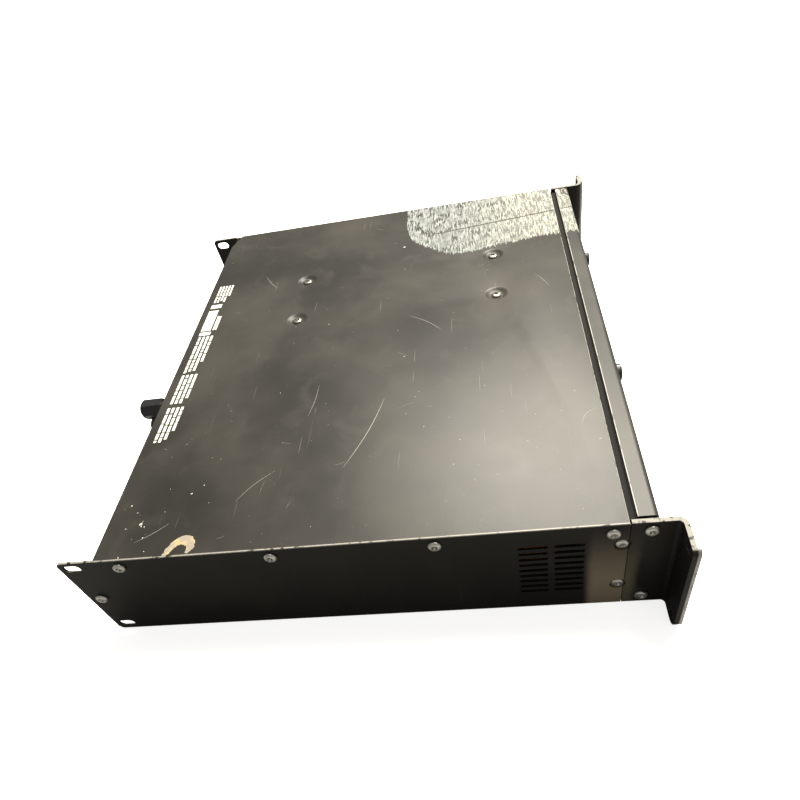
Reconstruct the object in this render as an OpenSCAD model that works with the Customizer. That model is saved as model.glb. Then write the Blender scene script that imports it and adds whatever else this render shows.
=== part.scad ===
// Two-unit rack power amplifier, built from its separate sheet-metal, moulded and turned pieces.
// Origin at the centre of the base, +Z up, the front faces -Y, and +X is the right seen from the front.

/* [Case] */
// Width over the two rack ears
rack_w = 482.6; // [481.6:0.1:483.6]
// Width of the chassis between the ears
chassis_w = 436.6; // [435.6:0.1:437.6]
// Overall height of a two-unit case
case_h = 88; // [87.6:0.1:88.4]
// Depth from the front of the ears to the rear edge of the side tabs
case_d = 407; // [406:0.5:412]
// Length of the side tabs behind the cover
tab_len = 27.5; // [26.5:0.5:29]
// Distance of the front panel's face behind the front of the ears
panel_setback = 16.5; // [16:0.5:18]

/* [Sheets] */
// Thickness of the chassis tray's steel
tray_t = 1.6; // [1.4:0.1:1.7]
// Thickness of the top cover's steel
cover_t = 1.2; // [1:0.1:1.4]
// Thickness of the front panel
panel_t = 2; // [1.8:0.1:2.2]
// Thickness of the rear panel
rear_t = 1.5; // [1.3:0.1:1.6]
// Depth of the front panel's rolled top strip
strip_d = 12.5; // [11.5:0.5:13]
// Width of the groove between the strip and the cover
groove_w = 5; // [4:0.5:6]

/* [Ears] */
// Thickness of an ear bracket
ear_t = 3; // [2.8:0.1:3.2]
// Thickness of the light facing plate on an ear
facing_t = 2; // [1.5:0.1:2.2]
// Distance between the rack slots across the front
slot_span_x = 465.1; // [464.6:0.1:465.6]
// Distance between the rack slots from bottom to top
slot_span_z = 76.2; // [76:0.1:76.4]
// Length of a rack slot
slot_len = 10; // [9:0.5:11]
// Width of a rack slot
slot_w = 6.8; // [6.4:0.1:7]

/* [Side vents] */
// Number of slots in each column
vent_rows = 9; // [5:1:9]
// Distance from one slot to the next
vent_pitch = 6.2; // [5.5:0.1:6.5]
// Length of a vent slot
vent_len = 18.6; // [14:0.1:19]
// Height of a vent slot
vent_h = 3; // [2:0.1:3.5]

/* [Front controls] */
// Sideways place of the first channel's gain knob
gain_1_x = -35; // [-45:1:-30]
// Sideways place of the second channel's gain knob
gain_2_x = 143; // [132:1:150]
// Height of the gain knobs
gain_z = 46; // [42:1:50]
// Diameter of a gain knob
knob_d = 17; // [16:0.5:19]
// Sideways place of the power switch
power_x = -178; // [-182:1:-174]
// Swing of the power rocker from off to on, in degrees
rocker_swing = 18; // [12:1:18]

/* [Cooling] */
// Sideways place of the heatsink tunnel and the fan
tunnel_x = 70; // [68:1:72]
// Size of the square fan
fan_size = 80; // [78:1:80]
// Number of fan blades
blade_count = 7; // [5:1:9]
// Length of the heatsinks
sink_len = 260; // [250:1:262]
// Number of fins on each heatsink
fin_count = 9; // [6:1:9]

/* [Transformer] */
// Outer diameter of the toroidal transformer
toroid_d = 148; // [130:1:150]
// Height of the toroidal transformer
toroid_h = 60; // [50:1:62]

/* [Speaker posts] */
// Sideways place of the column of posts
post_x = -50; // [-52:1:-48]
// Distance from one post to the next
post_pitch = 19; // [18.5:0.1:19.3]
// Hexagon size of a post cap across its flats
post_af = 15; // [13:0.5:15]

/* [Hidden] */
$fn = 48;

// Planes of the case
half_w = chassis_w / 2;
ear_front_y = -case_d / 2;
tab_rear_y = case_d / 2;
cover_rear_y = tab_rear_y - tab_len;
panel_y = ear_front_y + panel_setback;
strip_rear_y = panel_y + strip_d;
cover_front_y = strip_rear_y + groove_w;
wall_front_y = cover_front_y - 0.5;
plate_y = ear_front_y + facing_t;
cover_z = case_h - cover_t;
wall_in_x = half_w - tray_t;
rear_y = cover_rear_y - 1.5;
rear_in_y = rear_y - rear_t;
mid_z = case_h / 2;
panel_half_w = half_w - ear_t - 2;
body_gap = 0.1;
move_gap = 0.3;
run_gap = 0.05;

// Screws
screw_r = 2;
screw_hole_r = 2.1;
head_r = 4.4;
head_h = 2.4;
cover_screw_y = [for (i = [0:3]) cover_rear_y - 16.5 - i * 106.7];
cover_screw_z = 80;
ear_screw_y = panel_y + 4.7;
ear_screw_z = [8.9, 80.6];
tongue_screw_y = wall_front_y + 3.4;
tongue_screw_z = [23.2, 67.2];
tongue_hole_r = 5.2;
tongue_z = [17, 71.6];

// Side tabs
tab_slot_y = cover_rear_y + 18.2;
tab_slot_z = [7, 81];
tab_screw_y = tab_slot_y - 0.6;
tab_r = 4;

// Cover
dimple_x = [tunnel_x - 32.5, tunnel_x + 32.5];
dimple_y = [cover_rear_y - 281.3, cover_rear_y - 101.3];
dimple_r = 10;
dimple_floor_r = 5.6;
dimple_depth = 2.2;
cover_flange_h = case_h - 72.6;

// Side vents
vent_z = 20.4;
vent_y = [cover_rear_y - 311.4, cover_rear_y - 289.2];

// Front panel
panel_r = 3.5;
return_t = 2;
return_depth = 9;
groove_depth = 3.2;
intake_x = [[-150, 13], [22, 15]];
intake_pitch = 6.8;
lens_x = 26;
lens_z = [for (i = [0:4]) mid_z - 16 + i * 8];
lens_r = 1.5;

// Power switch
switch_w = 21.5;
switch_h = 29.5;
rocker_w = 17.8;
rocker_r = 12.9;
rocker_pivot_y = panel_y + 4.5;
pivot_r = 1.5;

// Gain controls
gain_x = [gain_1_x, gain_2_x];
shaft_r = 3;
bushing_r = 4.5;
knob_back_y = panel_y - 1;
pot_y = panel_y + 6;
board_y = pot_y + 10;

// Rear panel fittings
inlet_x = 176;
inlet_mouth_y = rear_y + 2;
inlet_depth = 21;
inlet_screw_x = 20;
inlet_pin = [2, 4];
inlet_pin_xz = [[-7, -2], [0, 2], [7, -2]];
breaker_x = 130;
breaker_r = 6;
button_r = 3.5;
xlr_x = [-105, -145];
xlr_z = 60;
xlr_depth = 14;
xlr_flange_t = 2.2;
jack_z = 24;
jack_bore_r = 3.25;
jack_thread_r = 5.5;
mode_x = -188;
mode_z = 60;
post_z = [for (i = [3:-1:0]) mid_z + 2 + (i - 1.5) * post_pitch];
post_base_y = rear_y + 4.5;
washer_t = 1.6;
cap_y = post_base_y + move_gap + washer_t + move_gap;
cap_end_y = tab_rear_y - 0.5;
stud_r = 3.2;
plug_bore_r = 2.05;

// Fan
fan_z = mid_z - 0.4;
fan_d = 25;
fan_y = rear_in_y - fan_d;
fan_hole = 35.75;
fan_bore_r = 38;
hub_r = 17;
spindle_r = 1.5;

// Insides
sink_y = dimple_y[0] - 16;
sink_top_z = case_h - dimple_depth - cover_t;
sink_base_t = 10;
sink_in_x = 28;
toroid_x = -126;
toroid_y = -84;
pad_t = 2.4;
board_z = 12;
board_t = 1.6;
main_board_xy = [[-206, 10, board_z], [20, 128, board_z]];
driver_board_xy = [[122, -150, board_z], [206, 120, board_z]];

// A flat outline in X and Z, thickened from y0 towards +Y
module plate_xz(y0, t) {
    translate([0, y0 + t, 0]) rotate([90, 0, 0]) linear_extrude(t) children();
}

// A flat outline in Y and Z, thickened from x0 towards +X
module plate_yz(x0, t) {
    translate([x0, 0, 0]) rotate([90, 0, 90]) linear_extrude(t) children();
}

// A round bar along Y
module rod_y(x, z, y0, y1, r) {
    translate([x, y0, z]) rotate([-90, 0, 0]) cylinder(r = r, h = y1 - y0);
}

// A round bar along X
module rod_x(y, z, x0, x1, r) {
    translate([x0, y, z]) rotate([0, 90, 0]) cylinder(r = r, h = x1 - x0);
}

// A box given by its two opposite corners
module block(low, high) {
    translate(low) cube(high - low);
}

module slot_2d(length, width) {
    square([length - width, width], center = true);
    for (s = [-1, 1]) translate([s * (length - width) / 2, 0]) circle(width / 2);
}

module rounded_2d(w, h, r) {
    square([w - 2 * r, h], center = true);
    square([w, h - 2 * r], center = true);
    for (s = [-1, 1], t = [-1, 1]) translate([s * (w / 2 - r), t * (h / 2 - r)]) circle(r);
}

module hexagon(across_flats) {
    circle(r = across_flats / sqrt(3), $fn = 6);
}

// A pan-head screw with a cross recess, head upwards from z = 0
module pan_screw(length, r = head_r, h = head_h) {
    difference() {
        union() {
            rotate_extrude()
                polygon([[0, 0], [r, 0], [r, 0.45 * h], [0.86 * r, 0.8 * h], [0.6 * r, h], [0, h]]);
            translate([0, 0, -length]) cylinder(r = screw_r, h = length + h / 4);
        }
        for (a = [0, 90]) rotate(a) translate([-0.55 * r, -0.45, 0.35 * h]) cube([1.1 * r, 0.9, h]);
    }
}

// Both sides of the case, the second one mirrored
module both_sides() {
    for (side = [0, 1]) mirror([side, 0, 0]) children();
}

// ---- Case ----

module wall_outline() {
    tab_y = cover_rear_y;
    difference() {
        union() {
            translate([wall_front_y, 0]) square([tab_y - wall_front_y, cover_z]);
            translate([tab_y, 0]) square([tab_len - tab_r, case_h]);
            translate([tab_y, tab_r]) square([tab_len, case_h - 2 * tab_r]);
            for (z = [tab_r, case_h - tab_r]) translate([tab_rear_y - tab_r, z]) circle(tab_r);
        }
        for (y = vent_y, i = [0:vent_rows - 1])
            translate([y, vent_z + i * vent_pitch]) slot_2d(vent_len, vent_h);
        for (y = cover_screw_y) translate([y, cover_screw_z]) circle(screw_hole_r);
        for (z = tongue_screw_z) translate([tongue_screw_y, z]) circle(tongue_hole_r);
        for (z = tab_slot_z) translate([tab_slot_y, z]) slot_2d(12.5, 7.5);
        translate([tab_screw_y, mid_z]) circle(screw_hole_r);
    }
}

module chassis_tray() {
    color("#1c1b19") {
        difference() {
            block([-half_w + 0.2, wall_front_y, 0], [half_w - 0.2, rear_y, tray_t]);
            translate([toroid_x, toroid_y, -1]) cylinder(r = 3.1, h = tray_t + 2);
        }
        both_sides() plate_yz(wall_in_x, tray_t) wall_outline();
    }
}

module dimple_ring() {
    top = case_h;
    rotate_extrude()
        polygon([
            [dimple_r + 0.5, top], [dimple_r, top], [dimple_floor_r, top - dimple_depth],
            [screw_hole_r, top - dimple_depth], [screw_hole_r, top - dimple_depth - cover_t],
            [dimple_floor_r + 0.6, top - dimple_depth - cover_t], [dimple_r + 0.5, top - cover_t]
        ]);
}

module top_cover() {
    flange_x = wall_in_x - body_gap - cover_t;
    corner = [22.8, 7.5];
    color("#6b6861") {
        difference() {
            translate([0, 0, cover_z]) linear_extrude(cover_t)
                polygon([
                    [-half_w, cover_front_y], [half_w, cover_front_y],
                    [half_w, cover_rear_y - corner[1]], [half_w - corner[0], cover_rear_y],
                    [-half_w, cover_rear_y]
                ]);
            for (x = dimple_x, y = dimple_y)
                translate([x, y, cover_z - 1]) cylinder(r = dimple_r + 0.2, h = cover_t + 2);
        }
        for (x = dimple_x, y = dimple_y) translate([x, y, 0]) dimple_ring();
        both_sides() plate_yz(flange_x, cover_t) difference() {
            translate([cover_front_y + 4, case_h - cover_flange_h])
                square([cover_rear_y - cover_front_y - 8, cover_flange_h - cover_t]);
            for (y = cover_screw_y) translate([y, cover_screw_z]) circle(screw_hole_r);
        }
    }
}

// The front panel seen from its end: face, rounded top, strip, groove and lower lip
module panel_profile() {
    lip_t = 1.6;
    lip_z = case_h - groove_depth - lip_t;
    lip_reach = 5;
    translate([panel_y, 0]) square([panel_t, case_h - panel_r]);
    translate([panel_y + panel_r, case_h - panel_t]) square([strip_d - panel_r, panel_t]);
    translate([strip_rear_y - panel_t, lip_z]) square([panel_t, case_h - lip_z]);
    translate([strip_rear_y - panel_t, lip_z]) square([panel_t + groove_w + lip_reach, lip_t]);
    translate([panel_y, 0]) square([strip_d + 2, panel_t]);
    translate([panel_y + panel_r, case_h - panel_r]) intersection() {
        difference() {
            circle(panel_r);
            circle(panel_r - panel_t);
        }
        translate([-panel_r, 0]) square(panel_r);
    }
}

module panel_openings() {
    for (x = gain_x) translate([x, gain_z]) circle(bushing_r + body_gap);
    for (x = gain_x, z = lens_z) translate([x + lens_x, z]) circle(lens_r + body_gap);
    for (bank = intake_x, i = [0:bank[1] - 1])
        translate([bank[0] + i * intake_pitch, mid_z]) rotate(90) slot_2d(54, 3.2);
    translate([power_x, mid_z]) square([switch_w + 0.2, switch_h + 0.2], center = true);
}

// The panel's side returns carry the threaded spacers for the ear screws
module front_panel() {
    return_outline_z = case_h - panel_r;
    spacer_r = 4;
    color("#57544e") difference() {
        union() {
            plate_yz(-panel_half_w, 2 * panel_half_w) panel_profile();
            both_sides() {
                block([panel_half_w - return_t, panel_y + 1, 1],
                      [panel_half_w, panel_y + return_depth, return_outline_z]);
                for (z = ear_screw_z)
                    rod_x(ear_screw_y, z, panel_half_w - 1, half_w - ear_t, spacer_r);
            }
        }
        plate_xz(panel_y - 1, panel_t + 2) panel_openings();
        both_sides() for (z = ear_screw_z)
            rod_x(ear_screw_y, z, panel_half_w - 8, half_w, screw_hole_r);
    }
}

module rear_openings() {
    for (x = xlr_x) translate([x, xlr_z]) {
        circle(11);
        translate([0, 13]) square([9, 5], center = true);
    }
    for (x = xlr_x) translate([x, jack_z]) circle(jack_thread_r + body_gap);
    for (z = post_z) translate([post_x, z]) circle(stud_r + 1);
    for (sx = [-1, 1], sz = [-1, 1])
        translate([tunnel_x + sx * fan_hole, fan_z + sz * fan_hole]) circle(screw_hole_r);
    translate([tunnel_x, fan_z]) circle(fan_bore_r + 0.5);
    translate([inlet_x, mid_z]) square([27.4, 20], center = true);
    for (s = [-1, 1]) translate([inlet_x + s * inlet_screw_x, mid_z]) circle(screw_hole_r);
    translate([breaker_x, mid_z]) circle(breaker_r + body_gap);
    translate([mode_x, mode_z]) square([12, 6], center = true);
    for (s = [-1, 1], x = xlr_x) translate([x + s * 9.5, xlr_z - s * 12]) circle(1.65);
}

module rear_panel() {
    top_z = cover_z - body_gap;
    side_x = wall_in_x - body_gap;
    flange_d = 7;
    flange_y = rear_in_y - flange_d;
    corner_relief = 8;
    color("#2a2927") {
        plate_xz(rear_in_y, rear_t) difference() {
            translate([-side_x, tray_t]) square([2 * side_x, top_z - tray_t]);
            rear_openings();
        }
        block([corner_relief - side_x, flange_y, top_z - rear_t],
              [side_x - corner_relief, rear_in_y, top_z]);
        both_sides() block([side_x - rear_t, flange_y, tray_t + corner_relief],
                           [side_x, rear_in_y, cover_z - 2 * corner_relief]);
    }
}

// ---- Rack ears ----

module ear_plan() {
    bend_in = 3;
    bend = [half_w + bend_in, plate_y + ear_t + bend_in];
    translate([half_w - ear_t, bend[1]]) square([ear_t, wall_front_y - 0.5 - bend[1]]);
    translate([bend[0], plate_y]) square([rack_w / 2 - bend[0], ear_t]);
    translate(bend) intersection() {
        difference() {
            circle(bend_in + ear_t);
            circle(bend_in);
        }
        translate([-bend_in - ear_t, -bend_in - ear_t]) square(bend_in + ear_t);
    }
}

module ear_outline(x0) {
    top_r = 4;
    low_r = 10;
    w = rack_w / 2 - x0;
    translate([x0, 0]) square([w - low_r, case_h]);
    translate([x0, low_r]) square([w, case_h - low_r - top_r]);
    translate([x0, low_r]) square([w - top_r, case_h - low_r]);
    translate([rack_w / 2 - low_r, low_r]) circle(low_r);
    translate([rack_w / 2 - top_r, case_h - top_r]) circle(top_r);
}

module ear_slots() {
    for (s = [-1, 1]) translate([slot_span_x / 2, mid_z + s * slot_span_z / 2])
        slot_2d(slot_len, slot_w);
}

module ear_bracket() {
    tongue_x = wall_in_x - body_gap;
    difference() {
        union() {
            intersection() {
                linear_extrude(case_h) ear_plan();
                plate_xz(ear_front_y, 60) ear_outline(half_w - ear_t - 1);
            }
            block([tongue_x - 2, wall_front_y - 8, tongue_z[0]],
                  [tongue_x, wall_front_y + 16, tongue_z[1]]);
        }
        plate_xz(plate_y - 1, ear_t + 2) ear_slots();
        for (z = ear_screw_z) rod_x(ear_screw_y, z, half_w - 8, half_w + 1, screw_hole_r);
        for (z = tongue_screw_z) {
            rod_x(tongue_screw_y, z, half_w - 8, half_w + 1, screw_hole_r);
            rod_x(tongue_screw_y, z, tongue_x, half_w + 1, tongue_hole_r);
        }
    }
}

module left_ear_bracket() {
    color("#161513") mirror([1, 0, 0]) ear_bracket();
}

module right_ear_bracket() {
    color("#161513") ear_bracket();
}

module ear_facing() {
    plate_xz(ear_front_y, facing_t) difference() {
        ear_outline(half_w + 3);
        ear_slots();
    }
}

module left_ear_facing() {
    color("#b9b8b4") mirror([1, 0, 0]) ear_facing();
}

module right_ear_facing() {
    color("#b9b8b4") ear_facing();
}

// ---- Gain controls ----

// A fluted knob on a plain skirt, its back to the panel and its index cut in the face
module gain_knob(x) {
    flutes = 18;
    flute_r = 1.05;
    length = 11.5;
    skirt_h = 3;
    recess_r = 7;
    shaft_hole = 9.5;
    index_w = 1.2;
    index_depth = 0.6;
    r = knob_d / 2;
    color("#191919") translate([x, knob_back_y, gain_z]) rotate([90, 0, 0]) difference() {
        union() {
            cylinder(r = r, h = skirt_h);
            intersection() {
                linear_extrude(length + 1) difference() {
                    circle(r);
                    for (i = [0:flutes - 1])
                        rotate(i * 360 / flutes) translate([r + 0.2, 0]) circle(flute_r);
                }
                rotate_extrude()
                    polygon([[0, 0], [r - 0.6, 0], [r - 1.2, length - 1.6], [r - 2.4, length],
                             [0, length]]);
            }
        }
        translate([0, 0, -1]) cylinder(r = recess_r, h = skirt_h + 1);
        cylinder(r = shaft_r + run_gap, h = shaft_hole);
        translate([-index_w / 2, 1.5, length - index_depth]) cube([index_w, r, 1]);
    }
}

module gain_knob_1() { gain_knob(gain_x[0]); }
module gain_knob_2() { gain_knob(gain_x[1]); }

module gain_shaft(x) {
    shaft_reach = 9.2;
    color("#a9a9a6") rod_y(x, gain_z, knob_back_y - shaft_reach, pot_y + 3, shaft_r);
}

module gain_shaft_1() { gain_shaft(gain_x[0]); }
module gain_shaft_2() { gain_shaft(gain_x[1]); }

// The potentiometer's box and its threaded bushing, both bored for the shaft
module gain_pot(x) {
    half_size = 8.5;
    bushing_reach = 2.6;
    color("#3c4a5a") difference() {
        union() {
            block([x - half_size, pot_y, gain_z - half_size],
                  [x + half_size, board_y, gain_z + half_size]);
            rod_y(x, gain_z, panel_y - bushing_reach, pot_y + 1, bushing_r);
        }
        rod_y(x, gain_z, panel_y - 4, pot_y + 3.5, shaft_r + run_gap);
    }
}

module gain_pot_1() { gain_pot(gain_x[0]); }
module gain_pot_2() { gain_pot(gain_x[1]); }

module gain_nuts() {
    nut_t = 2;
    nut_af = 11;
    color("#8e8e8a") for (x = gain_x) plate_xz(panel_y - nut_t, nut_t) difference() {
        translate([x, gain_z]) hexagon(nut_af);
        translate([x, gain_z]) circle(bushing_r + run_gap);
    }
}

// ---- Power switch ----

// The switch's housing with its bezel, open at the front for the rocker
module power_switch_body() {
    cavity = [rocker_w + 0.6, 2 * rocker_r + 0.6];
    cavity_depth = 21;
    body_depth = 27;
    bezel = 2;
    color("#202020") difference() {
        union() {
            block([power_x - switch_w / 2, panel_y, mid_z - switch_h / 2],
                  [power_x + switch_w / 2, panel_y + body_depth, mid_z + switch_h / 2]);
            plate_xz(panel_y - bezel, bezel) translate([power_x, mid_z])
                rounded_2d(switch_w + 2 * bezel, switch_h + 2 * bezel, bezel);
        }
        plate_xz(panel_y - bezel - 1, bezel + 1 + cavity_depth)
            translate([power_x, mid_z]) square(cavity, center = true);
        rod_x(rocker_pivot_y, mid_z, power_x - 10, power_x + 10, pivot_r + run_gap);
    }
}

// The rocker's two faces meet in a shallow valley at its middle
module power_rocker() {
    face = 7;
    valley = 2.2;
    pin_half = 9.8;
    back = 6;
    color("#c8281e") translate([power_x, rocker_pivot_y, mid_z]) rotate([-rocker_swing / 2, 0, 0]) {
        plate_yz(-rocker_w / 2, rocker_w) intersection() {
            circle(rocker_r);
            polygon([[back, -rocker_r], [back, rocker_r], [-face, rocker_r], [-face + valley, 0],
                     [-face, -rocker_r]]);
        }
        rod_x(0, 0, -pin_half, pin_half, pivot_r);
    }
}

// ---- Indicators ----

module indicator_lenses() {
    color("#58b55a") for (x = gain_x, z = lens_z)
        rod_y(x + lens_x, z, panel_y - 1, board_y, lens_r);
}

// One board behind each gain control, with a hole for its screw
module front_boards() {
    half_h = 22;
    left = 18;
    color("#24512f") difference() {
        for (x = gain_x)
            block([x - left, board_y, mid_z - half_h],
                  [x + lens_x + 6, board_y + board_t, mid_z + half_h]);
        for (x = gain_x) rod_y(x - left + 4, mid_z - half_h + 4, board_y - 1, board_y + 3, 1.6);
    }
}

// ---- Mains inlet and breaker ----

// The mouth of the mains inlet, with its two upper corners cut
module inlet_cavity_2d() {
    mouth = [24, 16.4];
    corner_cut = 5;
    difference() {
        square(mouth, center = true);
        for (s = [-1, 1])
            translate([s * mouth[0] / 2, mouth[1] / 2]) rotate(45) square(corner_cut, center = true);
    }
}

module power_inlet() {
    back_t = 3;
    back_y = inlet_mouth_y - inlet_depth - back_t;
    color("#1f1f1f") difference() {
        union() {
            plate_xz(rear_y, 2) translate([inlet_x, mid_z]) rounded_2d(50, 24, 3);
            plate_xz(back_y, rear_y - back_y + 1)
                translate([inlet_x, mid_z]) square([27.2, 19.8], center = true);
        }
        plate_xz(inlet_mouth_y - inlet_depth, inlet_depth + 1)
            translate([inlet_x, mid_z]) inlet_cavity_2d();
        for (s = [-1, 1])
            rod_y(inlet_x + s * inlet_screw_x, mid_z, rear_y - 1, rear_y + 3, screw_hole_r);
        for (pin = inlet_pin_xz)
            translate([inlet_x + pin[0], back_y, mid_z + pin[1]])
                cube([inlet_pin[0] + body_gap, 20, inlet_pin[1] + body_gap], center = true);
    }
}

module inlet_pins() {
    tab_y = inlet_mouth_y - inlet_depth - 8;
    color("#c9c4b4") for (pin = inlet_pin_xz)
        block([inlet_x + pin[0] - inlet_pin[0] / 2, tab_y, mid_z + pin[1] - inlet_pin[1] / 2],
              [inlet_x + pin[0] + inlet_pin[0] / 2, inlet_mouth_y - 6, mid_z + pin[1] + inlet_pin[1] / 2]);
}

module breaker_body() {
    color("#26262a") difference() {
        union() {
            rod_y(breaker_x, mid_z, rear_in_y - 32, rear_in_y, 8);
            rod_y(breaker_x, mid_z, rear_in_y - 1, rear_y + 3.6, breaker_r);
        }
        rod_y(breaker_x, mid_z, rear_in_y - 14, rear_y + 5, button_r + run_gap);
    }
}

module breaker_button() {
    color("#b8342a") {
        rod_y(breaker_x, mid_z, rear_in_y - 13, rear_y + 6.4, button_r);
        rod_y(breaker_x, mid_z, rear_y + 6, rear_y + 7, button_r - 0.5);
    }
}

// ---- Fan ----

module fan_frame() {
    spider_t = 3;
    bearing_r = 4;
    bearing_h = 18;
    arm_w = 5;
    color("#232323") translate([tunnel_x, fan_y, fan_z]) rotate([-90, 0, 0]) {
        difference() {
            linear_extrude(fan_d) rounded_2d(fan_size, fan_size, 4);
            translate([0, 0, -1]) cylinder(r = fan_bore_r, h = fan_d + 2);
            for (x = [-1, 1], y = [-1, 1])
                translate([x * fan_hole, y * fan_hole, -1]) cylinder(r = screw_hole_r, h = fan_d + 2);
        }
        // Spider with the motor's bearing tube
        difference() {
            union() {
                cylinder(r = hub_r - 1, h = spider_t);
                cylinder(r = bearing_r, h = bearing_h);
                for (a = [45:90:315]) rotate(a)
                    translate([hub_r - 2, -arm_w / 2, 0])
                        cube([fan_bore_r - hub_r + 3, arm_w, spider_t]);
            }
            translate([0, 0, 1]) cylinder(r = spindle_r + run_gap, h = bearing_h + 1);
        }
    }
}

// Spindle, cup-shaped hub and pitched blades, cut to a tip circle that clears the frame
module fan_rotor() {
    hub_z = 4;
    hub_h = 18;
    hub_wall = 2;
    blade_pitch = 52;
    blade_w = 24;
    blade_t = 1.6;
    tip_gap = 1.4;
    color("#2c2c2c") translate([tunnel_x, fan_y, fan_z]) rotate([-90, 0, 0]) {
        translate([0, 0, 1.6]) cylinder(r = spindle_r, h = hub_h + 1);
        difference() {
            translate([0, 0, hub_z]) cylinder(r = hub_r, h = hub_h);
            translate([0, 0, hub_z - 1]) cylinder(r = hub_r - hub_wall, h = hub_h - 1.5);
        }
        intersection() {
            difference() {
                translate([0, 0, hub_z + 0.4]) cylinder(r = fan_bore_r - tip_gap, h = hub_h - 1);
                cylinder(r = hub_r - 1, h = fan_d + 5);
            }
            for (i = [0:blade_count - 1]) rotate(i * 360 / blade_count)
                translate([0, 0, hub_z + hub_h / 2]) rotate([blade_pitch, 0, 0])
                    translate([10, -blade_w / 2, -blade_t / 2]) cube([40, blade_w, blade_t]);
        }
    }
}

// Rings of wire on four flat bars, round a pressed disc
module fan_guard() {
    wire_r = 1.1;
    bar_t = 1.2;
    bar_w = 2;
    disc_r = 11.5;
    eye_r = 4.6;
    ring_z = bar_t + 0.7;
    eye_x = fan_hole * sqrt(2);
    color("#b4b4b0") translate([tunnel_x, rear_y, fan_z]) rotate([-90, 0, 0]) {
        cylinder(r = disc_r, h = bar_t);
        for (r = [12, 20, 28, 36])
            rotate_extrude() translate([r, ring_z]) circle(wire_r, $fn = 16);
        for (a = [45:90:315]) rotate(a) difference() {
            union() {
                translate([disc_r - 1, -bar_w / 2, 0]) cube([eye_x - disc_r + 1, bar_w, bar_t]);
                translate([eye_x, 0, 0]) cylinder(r = eye_r, h = bar_t);
            }
            translate([eye_x, 0, -1]) cylinder(r = screw_hole_r, h = bar_t + 2);
        }
    }
}

// ---- Speaker posts ----

module post_base() {
    color("#1b1b1b") plate_xz(rear_y, 4.5) difference() {
        translate([post_x, mid_z]) rounded_2d(30, 80, 3);
        for (z = post_z) translate([post_x, z]) circle(stud_r + run_gap);
    }
}

module post_studs() {
    color("#c7a14a") for (z = post_z) difference() {
        rod_y(post_x, z, rear_in_y - 10, cap_end_y - 3, stud_r);
        rod_y(post_x, z, cap_end_y - 21, cap_end_y, plug_bore_r);
    }
}

module post_washer(i) {
    color("#c7a14a") plate_xz(post_base_y + move_gap, washer_t)
        translate([post_x, post_z[i]]) difference() {
            circle(6.6);
            circle(stud_r + run_gap);
        }
}

module post_washer_1() { post_washer(0); }
module post_washer_2() { post_washer(1); }
module post_washer_3() { post_washer(2); }
module post_washer_4() { post_washer(3); }

// A hexagonal screw cap on a round collar, bored for the stud and for a plug
module post_cap(i) {
    length = cap_end_y - cap_y;
    round_r = post_af / sqrt(3);
    collar_r = 6.8;
    collar_h = 3;
    end_wall = 1.8;
    color("#161616") translate([post_x, cap_y, post_z[i]]) rotate([-90, 0, 0]) difference() {
        union() {
            cylinder(r = collar_r, h = collar_h);
            intersection() {
                translate([0, 0, collar_h - 1]) linear_extrude(length - collar_h + 1) hexagon(post_af);
                rotate_extrude()
                    polygon([[0, collar_h - 1], [round_r - 1, collar_h - 1], [round_r, collar_h],
                             [round_r, length - 2.2], [round_r - 2.4, length], [0, length]]);
            }
        }
        translate([0, 0, -1]) cylinder(r = stud_r + run_gap, h = length + 1 - end_wall);
        cylinder(r = plug_bore_r + 0.35, h = length + 1);
    }
}

module post_cap_1() { post_cap(0); }
module post_cap_2() { post_cap(1); }
module post_cap_3() { post_cap(2); }
module post_cap_4() { post_cap(3); }

// ---- Signal inputs ----

module xlr_input(x) {
    color("#262626") translate([x, 0, xlr_z]) difference() {
        union() {
            plate_xz(rear_y, xlr_flange_t) rounded_2d(26, 32, 3);
            rod_y(0, 0, rear_y - 22, rear_y + 1, 10.8);
        }
        rod_y(0, 0, rear_y - xlr_depth, rear_y + 4, 9.3);
        plate_xz(rear_y - 1, 5) translate([0, 13]) square([8, 3.6], center = true);
        for (s = [-1, 1]) rod_y(s * 9.5, -s * 12, rear_y - 1, rear_y + 4, 1.65);
    }
}

// The contact carriers inside the two round sockets
module xlr_inserts() {
    insert_r = 7.6;
    pin_hole_r = 1.3;
    pin_ring_r = 4;
    color("#1b1b1b") for (x = xlr_x) translate([x, 0, xlr_z]) difference() {
        rod_y(0, 0, rear_y - xlr_depth, rear_y + xlr_flange_t, insert_r);
        for (a = [0, 120, 240]) rotate([0, a, 0])
            rod_y(0, -pin_ring_r, rear_y - xlr_depth + 2, rear_y + 4, pin_hole_r);
    }
}

module xlr_input_1() { xlr_input(xlr_x[0]); }
module xlr_input_2() { xlr_input(xlr_x[1]); }

module xlr_latch(x) {
    color("#b8b8b4") block([x - 3.7, rear_y - 3, xlr_z + 11.5], [x + 3.7, rear_y + 4, xlr_z + 14.5]);
}

module xlr_latch_1() { xlr_latch(xlr_x[0]); }
module xlr_latch_2() { xlr_latch(xlr_x[1]); }

module jack_inputs() {
    color("#2a2a2a") for (x = xlr_x) difference() {
        union() {
            block([x - 8, rear_in_y - 24, jack_z - 9], [x + 8, rear_in_y, jack_z + 9]);
            rod_y(x, jack_z, rear_in_y - 1, rear_y + 4, jack_thread_r);
        }
        rod_y(x, jack_z, rear_y - 20, rear_y + 5, jack_bore_r);
    }
}

// The hexagon nuts of the two jacks and of the breaker
module rear_nuts() {
    color("#b0b0ac") {
        for (x = xlr_x) plate_xz(rear_y, 2.4) difference() {
            translate([x, jack_z]) hexagon(14);
            translate([x, jack_z]) circle(jack_thread_r + run_gap);
        }
        plate_xz(rear_y, 3) difference() {
            translate([breaker_x, mid_z]) hexagon(17);
            translate([breaker_x, mid_z]) circle(breaker_r + run_gap);
        }
    }
}

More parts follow.
